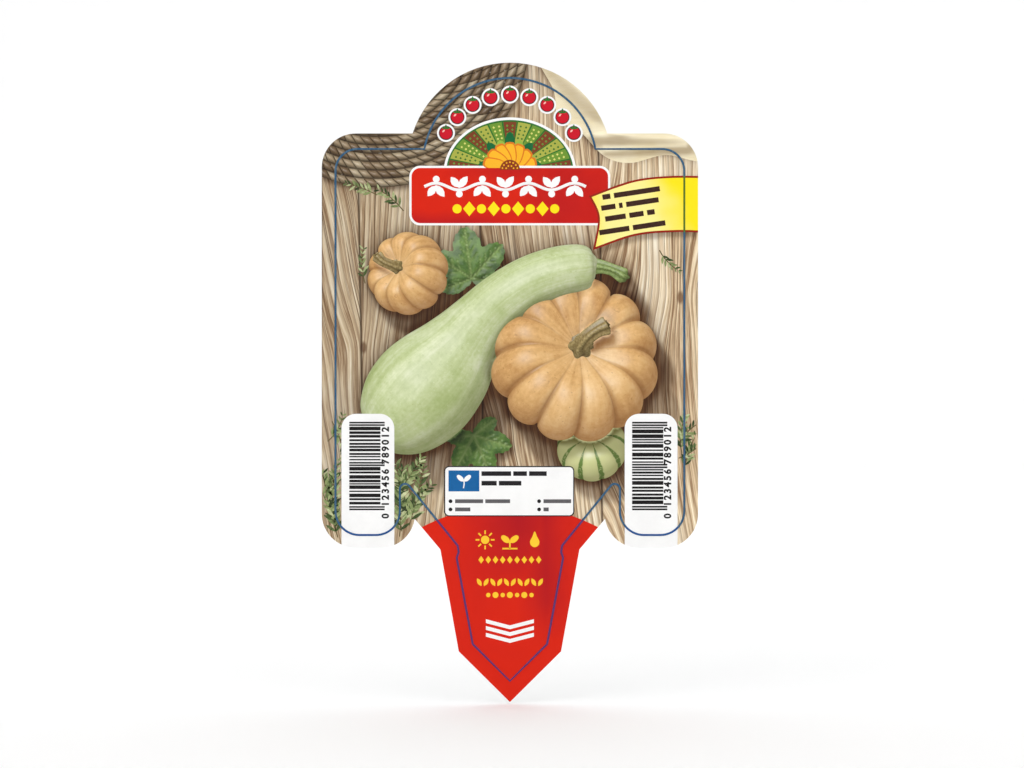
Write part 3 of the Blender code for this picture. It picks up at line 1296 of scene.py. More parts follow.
def squash_finish(name, pale, mid, deep, groove_colour, groove, gleam, shadow):
    """Skin of a squash: mottled, streaked along its length and darker in its grooves."""
    finish = Finish(name)
    spot = finish.spot()
    along, around = finish.kept("along"), finish.kept("around")
    blotch = finish.noise(spot, 0.09, 4.0, 0.6)
    fine = finish.noise(spot, 0.9, 4.0, 0.65)
    streak = finish.noise(finish.vector(around * 5.0, along * 2.2, 0.0), 1.0, 4.0, 0.62)
    tone = finish.ramp(blotch * 0.50 + streak * 0.38 + fine * 0.22 - 0.05, (0.34, deep), (0.50, mid),
                       (0.66, pale))
    tone = finish.mix(finish.noise(spot, 1.7, 2.0, 0.5).step(0.66, 0.72) * 0.30, tone, pale)
    tone = finish.mix(finish.noise(spot, 1.2, 2.0, 0.5).step(0.68, 0.71) * 0.38, tone, groove_colour)
    tone = finish.mix((finish.kept("groove").step(0.15, 0.95) * groove).held(), tone, groove_colour)
    return finish.printed(finish.lit(tone, shadow, gleam))


def stem_finish(name, pale, deep):
    """A ridged corky stem."""
    finish = Finish(name)
    tone = finish.ramp(finish.noise(finish.spot(), 1.6, 4.0, 0.65), (0.30, deep), (0.70, pale))
    tone = finish.mix(finish.kept("groove") * 0.55, tone, deep)
    return finish.printed(finish.lit(tone, paint(60, 50, 26), 0.25))


def striped_finish():
    """A small round squash with broad dark stripes on a pale skin."""
    finish = Finish("striped_skin")
    spot = finish.spot()
    groove = finish.kept("groove") + (finish.noise(spot, 0.5, 3.0, 0.6) - 0.5) * 0.45
    fleck = finish.noise(spot, 1.1, 3.0, 0.6).step(0.56, 0.66)
    tone = finish.mix(finish.noise(spot, 0.2, 3.0), paint(226, 224, 170), paint(206, 212, 142))
    tone = finish.mix(groove.step(0.34, 0.50) * (1.0 - fleck * 0.6), tone, paint(112, 140, 70))
    return finish.printed(finish.lit(tone, paint(92, 84, 40), 0.5))


def leaf_finish():
    """A broad leaf with pale veins."""
    finish = Finish("leaf_green")
    x, y, z = finish.place()
    where = finish.vector(x, y, z)
    tone = finish.mix(finish.noise(where, 0.35, 4.0, 0.6).step(0.35, 0.65), paint(66, 98, 44),
                      paint(104, 138, 66))
    tone = finish.mix(finish.noise(where, 2.4, 3.0).step(0.60, 0.72) * 0.20, tone, paint(138, 160, 92))
    tone = finish.mix(finish.kept("vein") * 0.7, tone, paint(166, 188, 118))
    return finish.printed(finish.lit(tone, paint(34, 42, 16), 0.12))


def sprig_finish():
    """Small leaflets, each with a tone of its own."""
    finish = Finish("sprig_green")
    x, y, z = finish.place()
    cloud = finish.noise(finish.vector(x, y, z), 1.2, 3.0)
    tone = finish.ramp(finish.kept("shade") * 0.80 + (cloud - 0.5) * 0.5 + 0.06, (0.0, paint(34, 44, 26)),
                       (0.34, paint(78, 96, 54)), (0.66, paint(144, 158, 102)), (0.94, paint(206, 210, 164)))
    return finish.printed(tone)


def straw_finish():
    """Twisted straw in browns and creams, dark between the strands."""
    finish = Finish("straw")
    edge, strand, ring = finish.kept("edge"), finish.kept("strand"), finish.kept("ring")
    x, y, z = finish.place()
    fibre = finish.noise(finish.vector(strand * 9.0, ring * 5.0, edge * 0.8), 1.0, 3.0, 0.6)
    cloud = finish.noise(finish.vector(x, y, z), 0.12, 2.0)
    tone = finish.ramp(
        finish.kept("tone") * 0.45 + fibre * 0.45 + (cloud - 0.5) * 0.5 + 0.06,
        (0.10, paint(84, 64, 44)), (0.38, paint(128, 105, 78)), (0.62, paint(164, 144, 114)),
        (0.92, paint(212, 198, 168)))
    gap = (strand.part() - 0.5).size().step(0.36, 0.50).most(edge.step(0.70, 1.0))
    tone = finish.mix(gap * 0.85, tone, paint(58, 42, 28))
    return finish.printed(finish.lit(tone, paint(40, 28, 18), 0.25))


def linen_finish():
    """Cream linen with its weave."""
    finish = Finish("linen_cream")
    x, y, z = finish.place()
    weave = (x * 11.0 + z * 3.0).sine() * (z * 11.0 - x * 3.0).sine() * 0.5 + 0.5
    slub = finish.noise(finish.vector(x * 0.4, y, z * 3.0), 1.0, 3.0)
    cloud = finish.noise(finish.vector(x, y, z), 0.10, 3.0)
    tone = finish.ramp(cloud * 0.6 + slub * 0.25 + weave * 0.12, (0.3, paint(229, 212, 168)),
                       (0.6, paint(250, 240, 210)))
    return finish.printed(finish.lit(tone, paint(132, 104, 68)))


# Finishes of the panels

STAKE_ARC_TOP = 11.2
STAKE_ARC_SPAN = 86.0


def stake_finish():
    """The stake's red, deeper at the top of its middle."""
    look = colours()
    finish = Finish("stake_red")
    x, y, z = finish.place()
    drift = finish.noise(finish.vector(x * 0.9, y, z * 1.3), 0.05, 2.0)
    top = (1.0 - ((x - 2.0).size() * 0.055).held()) * (z + 15.0).step(0.0, 22.0)
    side = (1.0 - ((x - 9.0).size() * 0.13).held()) * (z + 25.0).step(0.0, 14.0)
    depth = top.most(side * 0.85) + (drift - 0.5) * 0.7
    return finish.printed(finish.mix(depth.held(), look.red, look.red_deep))


def name_finish():
    """The name panel's red: brighter in a slanting band, deeper at the top and lower left."""
    look = colours()
    finish = Finish("name_red")
    x, y, z = finish.place()
    drift = finish.noise(finish.vector(x, y, z * 1.4), 0.07, 2.0)
    high = (z - 88.0).step(2.0, 8.0) * (1.0 - (x.size() * 0.055).held())
    low = (84.5 - z).step(-1.5, 3.5) * (1.0 - (x + 12.0).step(0.0, 16.0))
    depth = (high * 0.8).most(low * 0.8).most(x.step(0.0, 14.0) * 0.6) + (drift - 0.5) * 0.8
    return finish.printed(finish.mix(depth.held(), look.red, look.red_deep))


def flag_finish():
    """Yellow, pale in the middle of the flag and strong at its right end."""
    look = colours()
    finish = Finish("flag_yellow")
    x, y, z = finish.place()
    drift = finish.noise(finish.vector(x, y, z), 0.10, 2.0)
    strong = (x + (z - 86.0) * 0.35 + (drift - 0.5) * 10.0).step(33.0, 44.5)
    left = (24.0 - x).step(-1.0, 3.5)
    return finish.printed(finish.mix(strong.most(left * 0.6), look.yellow_pale, look.yellow))


def line_finish():
    """The thin line's blue, as it looks over white, wood, red and yellow."""
    finish = Finish("thin_line")
    x, y, z = finish.place()
    across = x.size()
    over_red = (STAKE_ARC_TOP - x * x / STAKE_ARC_SPAN - z).step(-0.15, 0.15)
    over_flag = x.step(20.0, 21.0) * z.step(79.0, 79.6) * (1.0 - z.step(93.0, 93.6))
    over_white = across.step(28.8, 29.1) * (1.0 - across.step(41.9, 42.2)) * (1.0 - z.step(33.6, 34.0))
    wood = finish.noise(finish.vector(x * 2.0, y, z * 0.2), 1.0, 3.0)
    colour = finish.mix(wood.step(0.35, 0.70), paint(46, 88, 122), paint(80, 110, 132))
    colour = finish.mix(over_white, colour, colours().line)
    colour = finish.mix(over_flag, colour, paint(84, 116, 40))
    return finish.printed(finish.mix(over_red, colour, paint(92, 54, 112)))


def sheet_finish():
    """The bare white sheet: satin, with a very faint orange peel."""
    white = colours().white
    finish = Finish("white_sheet", 0.38, 0.4)
    x, y, z = finish.place()
    cloud = finish.noise(finish.vector(x, y, z), 0.08, 3.0)
    scuff = finish.noise(finish.vector(x * 0.6, y, z * 3.0), 0.9, 4.0).step(0.66, 0.80)
    tone = finish.mix(cloud, tuple(c * INK_CLOUD for c in white), white)
    return finish.printed(finish.mix(scuff * 0.25, tone, paint(232, 231, 226)))


# Small signs

def words(x, z, lengths, height, gap, slant=0.0):
    """Rules that stand for words, side by side from a place onwards, in a line that may slant."""
    rows, run = [], 0.0
    for word in lengths:
        rows.append((*toward(x, z, slant, run + word / 2), word, height, slant))
        run += word + gap
    return rows


def chevrons(lows, half, drop, wide):
    """Bent bands that point down, one from each height of its lower ends."""
    return [[(-half, z), (0.0, z - drop), (half, z), (half, z + wide), (0.0, z - drop + wide),
             (-half, z + wide)] for z in lows]


def drop_outline():
    """A drop of water about 4 high, round its own middle."""
    right = [(0.62, 0.75), (1.15, -0.35), (0.95, -1.35)]
    return smooth([(0.0, 2.1), *[(-x, z) for x, z in right], (0.0, -1.85), *right[::-1]], 5, closed=True)


def sun(name, x, z, radius, away, ray, level, ink, behind=False):
    """A small sun with eight rays of a given length and width."""
    slab(name, [disc(x, z, radius)], level, ink, behind=behind)
    rays = [(*toward(x, z, angle, away), *ray, angle) for angle in range(0, 360, 45)]
    marks(f"{name}_rays", "bar", rays, level, ink, behind=behind)


def sprout_leaves(name, x, z, lean, leaf, level, ink, behind=False):
    """The two leaves of a sprout, one on a level just over the other."""
    for side, turn, up in (("left", lean, 0.1), ("right", -lean, -0.1)):
        slab(f"{name}_{side}", [turned(petal(*leaf), x, z, turn)], level + STEP_UP * up, ink, behind=behind)


# Steps

# Left, right, low and high edge of a panel
NAME_BOX = (-25.15, 25.1, 81.0, 95.9)
FORM_BOX = (-16.45, 16.1, 8.25, 20.85)

# The form's bold and thin rules: their height, and lines of (start x, middle z, lengths of words)
FORM_WORDS = (
    (1.15, ((-7.1, 18.95, (7.4, 3.4, 4.4)), (-7.1, 16.55, (3.8, 5.6)))),
    (0.95, ((-13.7, 12.05, (7.0, 6.2)), (8.4, 12.05, (6.9,)), (-13.7, 10.0, (3.8,)), (8.4, 10.0, (1.3,)))),
)

# Left and right edge of a bar panel, where its bars start, where its guard bars end, and its digits
BAR_PANELS = ((-42.1, -28.9, -40.15, -31.3, -31.05), (28.7, 41.9, 30.55, 39.35, 39.5))
PANEL_TOP = 33.9
PANEL_CORNER = 3.6
BARS_TOP = 31.9
DIGIT_HEIGHT = 1.78
DIGIT_PITCH = 1.62

# Widths that bars and gaps are drawn from, and a guard bar with its gap
BAR_WIDTHS = (1.8, 2.6, 3.4, 4.6)
GAP_WIDTHS = (1.0, 1.2, 2.0)
GUARD_WIDTHS = (2.1, 1.0)

# A line of rules on the flag: middle x, middle z and the lengths of its words
FLAG_ROWS = (
    (30.3, 89.1, (2.0, 11.6)), (30.0, 86.35, (3.6, 0.9, 8.2)), (30.0, 83.5, (5.2, 3.6, 1.9)),
    (30.6, 80.4, (7.6, 8.2)),
)
FLAG_SLANT = 8.6
FLAG_GAP = 0.9

# The emblem: the middle of its beds and their reach, its flower, its arc of fruits and its border
HUMP_FOOT = 94.0
BED_MIDDLE = (0.0, 94.6)
BED_REACH = (15.4, 12.3)
BEDS = 13
FLOWER = (0.0, 94.9)
FRUIT_MIDDLE = (0.0, 95.6)
FRUIT_REACH = 18.1


class LABEL_OT_sheet(bpy.types.Operator):
    """Gives the die-cut sheet its white finish"""

    bl_idname = "label.sheet"
    bl_label = "Finish the sheet"

    def execute(self, context):
        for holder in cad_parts["label_sheet"].material_slots:
            holder.material = sheet_finish()
        return {"FINISHED"}


class LABEL_OT_boards(bpy.types.Operator):
    """Prints the boards over the whole front"""

    bl_idname = "label.boards"
    bl_label = "Print the boards"

    def execute(self, context):
        whole = laid()
        loop = whole.inner_sheet
        slab("printed_boards", [loop], GROUND_LEVEL, board_finish(), depth=GROUND_LEVEL - 0.004,
             inner=grid_inside([loop], 0.62, 0.25),
             numbers=lambda flat: {"shade": whole.table.board_shade(flat[:, 0], flat[:, 1])})
        return {"FINISHED"}


class LABEL_OT_squashes(bpy.types.Operator):
    """Prints the squashes and their stems"""

    bl_idname = "label.squashes"
    bl_label = "Print the squashes"

    def execute(self, context):
        whole = laid()
        tan = squash_finish(
            "tan_skin", paint(245, 208, 152), paint(226, 180, 118), paint(194, 142, 82),
            paint(166, 112, 60), 0.60, 0.20, paint(112, 68, 30))
        green = squash_finish(
            "green_skin", paint(230, 236, 202), paint(198, 210, 156), paint(166, 183, 114),
            paint(166, 182, 114), 0.16, 0.22, paint(88, 78, 32))
        cork = stem_finish("tan_stem", paint(196, 176, 120), paint(120, 98, 56))
        fresh = stem_finish("green_stem", paint(176, 196, 120), paint(98, 118, 58))
        skins = {"pumpkin": tan, "small_squash": tan, "gourd": green, "round_squash": striped_finish(),
                 "pumpkin_stem": cork, "small_squash_stem": cork, "gourd_stem": fresh,
                 "round_squash_stem": fresh}
        for name, body in whole.bodies.items():
            body.print(f"printed_{name}", skins[name], whole.table)
        return {"FINISHED"}


class LABEL_OT_leaves(bpy.types.Operator):
    """Prints the leaves and the small sprigs"""

    bl_idname = "label.leaves"
    bl_label = "Print the leaves"

    def execute(self, context):
        whole = laid()
        green = leaf_finish()
        for name in ("large_leaf", "low_leaf"):
            whole.covers[name].print(f"printed_{name}", green, whole.table)
        draw = random.Random(5)
        tones = [draw.uniform(0.05, 1.0) for _ in whole.leaves]
        marks("printed_sprig_leaves", "leaf", whole.leaves, SPRIG_LEVEL, sprig_finish(), tones=tones,
              stagger=0.0015)
        ribbon("printed_sprig_stems", whole.stems, 0.26, STEM_LEVEL,
               plain_ink("sprig_stem", paint(104, 92, 58)))
        return {"FINISHED"}


class LABEL_OT_mat(bpy.types.Operator):
    """Prints the straw mat and the linen cloth"""

    bl_idname = "label.mat"
    bl_label = "Print the mat and the linen"

    def execute(self, context):
        whole = laid()
        whole.covers["straw_mat"].print("printed_straw_mat", straw_finish(), whole.table)
        whole.covers["linen"].print("printed_linen", linen_finish(), whole.table)
        return {"FINISHED"}


class LABEL_OT_emblem(bpy.types.Operator):
    """Prints the half-round flower emblem and the arc of red fruits over it"""

    bl_idname = "label.emblem"
    bl_label = "Print the emblem"

    def execute(self, context):
        white = white_ink("emblem_white")
        edge, ground = ([[toward(0.0, HUMP_FOOT, 3.75 * i, half, high) for i in range(49)]]
                        for half, high in ((16.6, 14.0), (15.95, 13.35)))
        base_slab("emblem_edge", edge, EMBLEM_LEVEL, white)
        slab("emblem_ground", ground, EMBLEM_LEVEL + STEP_UP * 0.5,
             plain_ink("emblem_green", paint(44, 112, 44)))
        self.beds(EMBLEM_LEVEL + STEP_UP * 0.7)
        self.petals(EMBLEM_LEVEL + STEP_UP * 1.2)
        self.fruits(EMBLEM_LEVEL, white)
        return {"FINISHED"}

    def beds(self, level):
        """Garden beds that fan out behind the flower, with rows of seedlings on them."""
        soils = [plain_ink(f"emblem_bed_{i}", paint(*colour)) for i, colour in enumerate((
            (126, 62, 34), (110, 150, 52), (172, 176, 74)))]
        seedlings = [plain_ink(f"emblem_seedling_{i}", paint(*colour)) for i, colour in enumerate((
            (96, 156, 60), (226, 222, 120), (50, 110, 44)))]
        wide = 180 / BEDS
        rows = ([], [], [])
        for i in range(BEDS):
            edge = [toward(*BED_MIDDLE, wide * (i + share), *BED_REACH)
                    for share in (0.06, 0.3, 0.5, 0.7, 0.94)]
            slab(f"emblem_bed_{i}", [[BED_MIDDLE, *edge]], level, soils[i % 3])
            for out in (0.52, 0.60, 0.68, 0.76, 0.84, 0.92):
                reach = (BED_REACH[0] * out, BED_REACH[1] * out)
                for share in ((0.3, 0.7) if out > 0.65 else (0.5,)):
                    rows[i % 3].append((*toward(*BED_MIDDLE, wide * (i + share), *reach), 0.62, 0.62))
        for i, spots in enumerate(rows):
            marks(f"emblem_seedlings_{i}", "lozenge", spots, level + STEP_UP * 0.3, seedlings[i])

    def petals(self, level):
        """Half of a golden flower, its petals in two layers, with green leaves behind."""
        leaves = (plain_ink("emblem_leaf", paint(18, 104, 56)),
                  plain_ink("emblem_leaf_pale", paint(150, 186, 70)))
        gold = plain_ink("emblem_gold", paint(250, 184, 40))
        amber = plain_ink("emblem_amber", paint(226, 122, 30))
        for i, a in enumerate(range(-80, 81, 20)):
            ray = turned(petal(9.6 - 0.02 * abs(a) - 1.3 * (i % 2), 2.9), *FLOWER, a)
            slab(f"emblem_leaf_{i}", [ray], level + STEP_UP * (0.2 + 0.12 * (i % 2)), leaves[i % 2])
        for i, a in enumerate(range(-72, 73, 24)):
            height = level + STEP_UP * (0.5 + 0.10 * i)
            slab(f"emblem_petal_{i}", [turned(petal(7.0, 3.5, 0.86), *FLOWER, a)], height, amber)
            face = turned(petal(6.5, 2.9, 0.86), *FLOWER, a)
            slab(f"emblem_petal_face_{i}", [face], height + STEP_UP * 0.05, gold)
        slab("emblem_heart", [arc(*FLOWER, 2.5, 0, 180)], level + STEP_UP * 1.4,
             plain_ink("emblem_heart", paint(140, 56, 20)))
        seeds = [(*toward(*FLOWER, 180 * (i + 0.5) / count, out), 0.42, 0.42)
                 for out, count in ((1.0, 4), (1.9, 7)) for i in range(count)]
        marks("emblem_seeds", "disc", seeds, level + STEP_UP * 1.6, gold)

    def fruits(self, level, white):
        """Nine small red fruits in an arc, each on a white ground."""
        spots = [toward(*FRUIT_MIDDLE, 152 - 15.5 * i, FRUIT_REACH) for i in range(9)]
        rings = (("halo", 4.5, 0.0, white), ("rim", 3.55, 0.5, plain_ink("fruit_rim", paint(74, 14, 22))),
                 ("skin", 3.05, 0.8, plain_ink("fruit_red", paint(206, 18, 40))))
        for name, size, up, ink in rings:
            marks(f"fruit_{name}s", "disc", [(x, z, size, size) for x, z in spots], level + STEP_UP * up, ink)
        marks("fruit_shines", "leaf", [(x - 0.6, z + 0.5, 0.9, 0.45, 45) for x, z in spots],
              level + STEP_UP * 1.1, plain_ink("fruit_shine", paint(250, 190, 180)))
        leaves = [(*toward(x, z + 1.15, a, 0.5, 0.4), 1.3, 0.5, a) for x, z in spots for a in (10, 90, 170)]
        marks("fruit_leaves", "leaf", leaves, level + STEP_UP * 1.4,
              plain_ink("fruit_leaf", paint(36, 116, 48)), stagger=0.0005)


class LABEL_OT_name_panel(bpy.types.Operator):
    """Prints the red name panel with its white vine and yellow beads"""

    bl_idname = "label.name_panel"
    bl_label = "Print the name panel"

    def execute(self, context):
        border = sizes().panel_border / MM
        left, right, low, high = NAME_BOX
        white = white_ink("name_white")
        base_slab("name_panel_border", [box_outline(left, right, low, high, 2.7)], NAME_LEVEL, white)
        slab("name_panel", [box_outline(left + border, right - border, low + border, high - border, 2.2)],
             NAME_LEVEL + STEP_UP * 0.5, name_finish())
        self.vine(white)
        yellow = plain_ink("name_yellow", colours().yellow)
        spots = [-13.2 + 3.05 * i for i in range(9)]
        marks("name_lozenges", "lozenge", [(x, 85.15, 3.1, 3.7) for x in spots[1::2]],
              NAME_LEVEL + STEP_UP, yellow)
        marks("name_beads", "disc", [(x, 85.15, 2.3, 2.3) for x in spots[::2]], NAME_LEVEL + STEP_UP, yellow)
        return {"FINISHED"}

    def vine(self, white):
        """A stem that waves across the panel, with a pair of leaves in each wave."""
        waves, points, left, right, middle, swing = 7, 84, -21.4, 19.0, 90.7, 0.85
        path = [(left + (right - left) * i / points, middle + swing * math.sin(math.pi * waves * i / points))
                for i in range(points + 1)]
        ribbon("name_vine_stem", [path], 0.75, NAME_LEVEL + STEP_UP, white)
        leaves, buds = [], []
        for i in range(waves):
            side = 1 if i % 2 else -1
            foot = left + (right - left) / waves * (i + 0.5)
            for turn, size in ((52 * side, 3.7), (128 * side, 3.3)):
                leaves.append((*toward(foot, middle - side * 0.2, turn, 1.65), size, 1.9, turn))
            buds.append((foot + 0.1, middle - side * 1.85, 1.7, 1.7))
        marks("name_vine_leaves", "leaf", leaves, NAME_LEVEL + STEP_UP * 1.3, white, stagger=0.0003)
        marks("name_vine_buds", "disc", buds, NAME_LEVEL + STEP_UP * 1.25, white)


class LABEL_OT_flag(bpy.types.Operator):
    """Prints the yellow flag with its dark border and rules"""

    bl_idname = "label.flag"
    bl_label = "Print the flag"

    def execute(self, context):
        size = sizes()
        sheet = laid().inner_sheet
        loop = flag_loop()
        base_slab("flag_border", [loop], FLAG_LEVEL, plain_ink("flag_border", paint(150, 34, 16)), sheet)
        slab("flag", [inset(loop, size.flag_border / MM)], FLAG_LEVEL + STEP_UP * 0.5, flag_finish(),
             within=sheet)
        rows = []
        for x, z, lengths in FLAG_ROWS:
            half = (sum(lengths) + FLAG_GAP * (len(lengths) - 1)) / 2
            rows += words(*toward(x, z, FLAG_SLANT, -half), lengths, size.rule_height / MM, FLAG_GAP,
                          FLAG_SLANT)
        marks("flag_rules", "bar", rows, FLAG_LEVEL + STEP_UP, plain_ink("flag_ink", paint(58, 34, 24)))
        return {"FINISHED"}


class LABEL_OT_bar_codes(bpy.types.Operator):
    """Prints the two white panels with made-up bar codes and counting numbers"""

    bl_idname = "label.bar_codes"
    bl_label = "Print the bar codes"

    def execute(self, context):
        white = white_ink("panel_white")
        ink = plain_ink("bar_ink", colours().ink)
        for seed, side in enumerate(("left", "right")):
            left, right, start, guard, middle = BAR_PANELS[seed]
            loop = rounded([(left, -2.0, 0), (right, -2.0, 0), (right, PANEL_TOP, PANEL_CORNER),
                            (left, PANEL_TOP, PANEL_CORNER)])
            base_slab(f"{side}_bar_panel", [loop], PANEL_LEVEL, white, laid().inner_sheet)
            rows = self.bars(random.Random(seed), start, start + sizes().bar_length / MM, guard)
            marks(f"{side}_bars", "bar", rows, PANEL_LEVEL + STEP_UP, ink)
            spots = [("0", middle, 8.35)]
            for i in range(12):
                spots.append((str((i + 1) % 10), middle, 11.35 + DIGIT_PITCH * i + (0.85 if i > 5 else 0.0)))
            digits(f"{side}_digits", spots, DIGIT_HEIGHT, PANEL_LEVEL + STEP_UP * 2, ink, 90.0)
        return {"FINISHED"}

    def bars(self, draw, start, end, guard):
        """Made-up bars from the top down, with pairs of longer guard bars at the ends and the middle."""
        pairs = 13
        guards = (0, 1, pairs - 1, pairs, 2 * pairs - 2, 2 * pairs - 1)
        widths = []
        for i in range(2 * pairs):
            drawn = (draw.choice(BAR_WIDTHS), draw.choice(GAP_WIDTHS))
            widths.append(GUARD_WIDTHS if i in guards else drawn)
        unit = sizes().code_length / MM / (sum(bar + gap for bar, gap in widths) - widths[-1][1])
        rows, z = [], BARS_TOP
        for i, (bar, gap) in enumerate(widths):
            stop = guard if i in guards else end
            rows.append(((start + stop) / 2, z - bar * unit / 2, stop - start, bar * unit))
            z -= (bar + gap) * unit
        return rows


class LABEL_OT_form(bpy.types.Operator):
    """Prints the small form between the ears with a sprout and plain rules"""

    bl_idname = "label.form"
    bl_label = "Print the form"

    def execute(self, context):
        left, right, low, high = FORM_BOX
        level = PANEL_LEVEL + STEP_UP
        ink = plain_ink("form_ink", paint(32, 30, 32))
        white = white_ink("form_white")
        base_slab("form_border", [box_outline(left, right, low, high, 1.25)], PANEL_LEVEL, ink)
        slab("form_panel", [box_outline(left + 0.28, right - 0.28, low + 0.28, high - 0.28, 1.0)],
             PANEL_LEVEL + STEP_UP * 0.5, white)
        slab("form_blue", [box_outline(-15.35, -7.65, 14.5, 19.75, 0.05)], level,
             plain_ink("form_blue", colours().blue))
        ribbon("form_sprout_stem", [smooth([(-11.6, 15.3), (-11.45, 16.4), (-11.5, 17.5)], 6)], 0.3,
               level + STEP_UP * 0.5, white)
        sprout_leaves("form_sprout", -11.5, 17.0, 48, (2.3, 1.15), level + STEP_UP * 0.6, white)
        bold, thin = (
            [row for x, z, lengths in lines for row in words(x, z, lengths, height, 0.55)]
            for height, lines in FORM_WORDS)
        leads = [(x, z, 0.95, 0.95) for x in (-14.85, 7.3) for z in (12.05, 10.0)]
        marks("form_rules", "bar", bold, level, ink)
        marks("form_leads", "disc", leads, level, ink)
        marks("form_entries", "bar", thin, level, plain_ink("form_grey", paint(96, 94, 96)))
        return {"FINISHED"}


class LABEL_OT_stake(bpy.types.Operator):
    """Prints the red stake with yellow garden signs and white chevrons"""

    bl_idname = "label.stake"
    bl_label = "Print the stake"

    def execute(self, context):
        half = 23.0
        top = [(x, STAKE_ARC_TOP - x * x / STAKE_ARC_SPAN) for x in np.linspace(half, -half, 33)]
        base_slab("stake_ground", [[(-half, -45.0), (half, -45.0), *top]], PANEL_LEVEL - STEP_UP,
                  stake_finish(), laid().inner_sheet)
        yellow = plain_ink("stake_yellow", paint(255, 205, 50))
        level = PANEL_LEVEL + STEP_UP
        self.signs(yellow, level)
        marks("stake_beads", "lozenge", [(-7.2 + 1.8 * i, -2.6, 1.4, 1.9) for i in range(9)], level, yellow)
        marks("stake_leaf_row", "leaf", [(-7.65 + 1.7 * i, -8.2, 2.2, 1.05, 60 if i % 2 else -60)
                                         for i in range(10)], level, yellow)
        marks("stake_dot_row", "disc", [(-5.4 + 1.8 * i, -11.4, 1.1 + 0.4 * (i % 2), 1.1 + 0.4 * (i % 2))
                                        for i in range(7)], level, yellow)
        slab("stake_arrow", chevrons((-18.4, -20.1, -21.8), 6.0, 1.55, 0.95), level, white_ink("arrow_white"))
        return {"FINISHED"}

    def signs(self, yellow, level):
        """Sun, sprout and drop."""
        sun("stake_sun", -6.2, 2.4, 1.05, 1.9, (0.95, 0.38), level, yellow)
        sprout_leaves("stake_sprout", 0.0, 1.7, 52, (2.7, 1.5), level + STEP_UP * 0.2, yellow)
        ribbon("stake_sprout_stem", [[(0.0, 2.1), (0.0, 0.2)], [(-1.9, 0.2), (1.9, 0.2)]], 0.42, level,
               yellow)
        slab("stake_drop", [turned(drop_outline(), 6.2, 2.4)], level, yellow)


class LABEL_OT_line(bpy.types.Operator):
    """Prints the thin blue line that runs inside the edge"""

    bl_idname = "label.line"
    bl_label = "Print the thin line"

    def execute(self, context):
        side = SHEET_HIGH[0] - sizes().line_inset / MM
        shoulder, dome, dome_low = 100.1, 21.75, 96.1
        foot = math.degrees(math.asin((shoulder - dome_low) / dome))
        right = rounded([
            (0.0, -32.9, 0.0), (9.3, -23.65, 0.6), (13.3, -2.1, 0.4), (12.8, -0.65, 0.35), (13.05, 0.95, 0.5),
            (27.5, 18.75, 1.3), (27.5, 3.6, 6.0), (side, 3.6, 6.0), (side, shoulder, 5.5),
            (dome * math.cos(math.radians(foot)), shoulder, 0.0)], 6.0, closed=False)
        right += arc(0.0, dome_low, dome, foot, 90.0, 3.0)[1:]
        path = right + [(-x, z) for x, z in right[-2:0:-1]]
        ribbon("thin_line", [path], sizes().line_width / MM, LINE_LEVEL, line_finish(), closed=True,
               depth=LINE_LEVEL - GROUND_LEVEL / 2)
        return {"FINISHED"}


# Rows of months on the back: (name, middle z, first month, last month)
MONTHS = (("sow", 76.0, 3, 5), ("pick", 67.5, 7, 10))


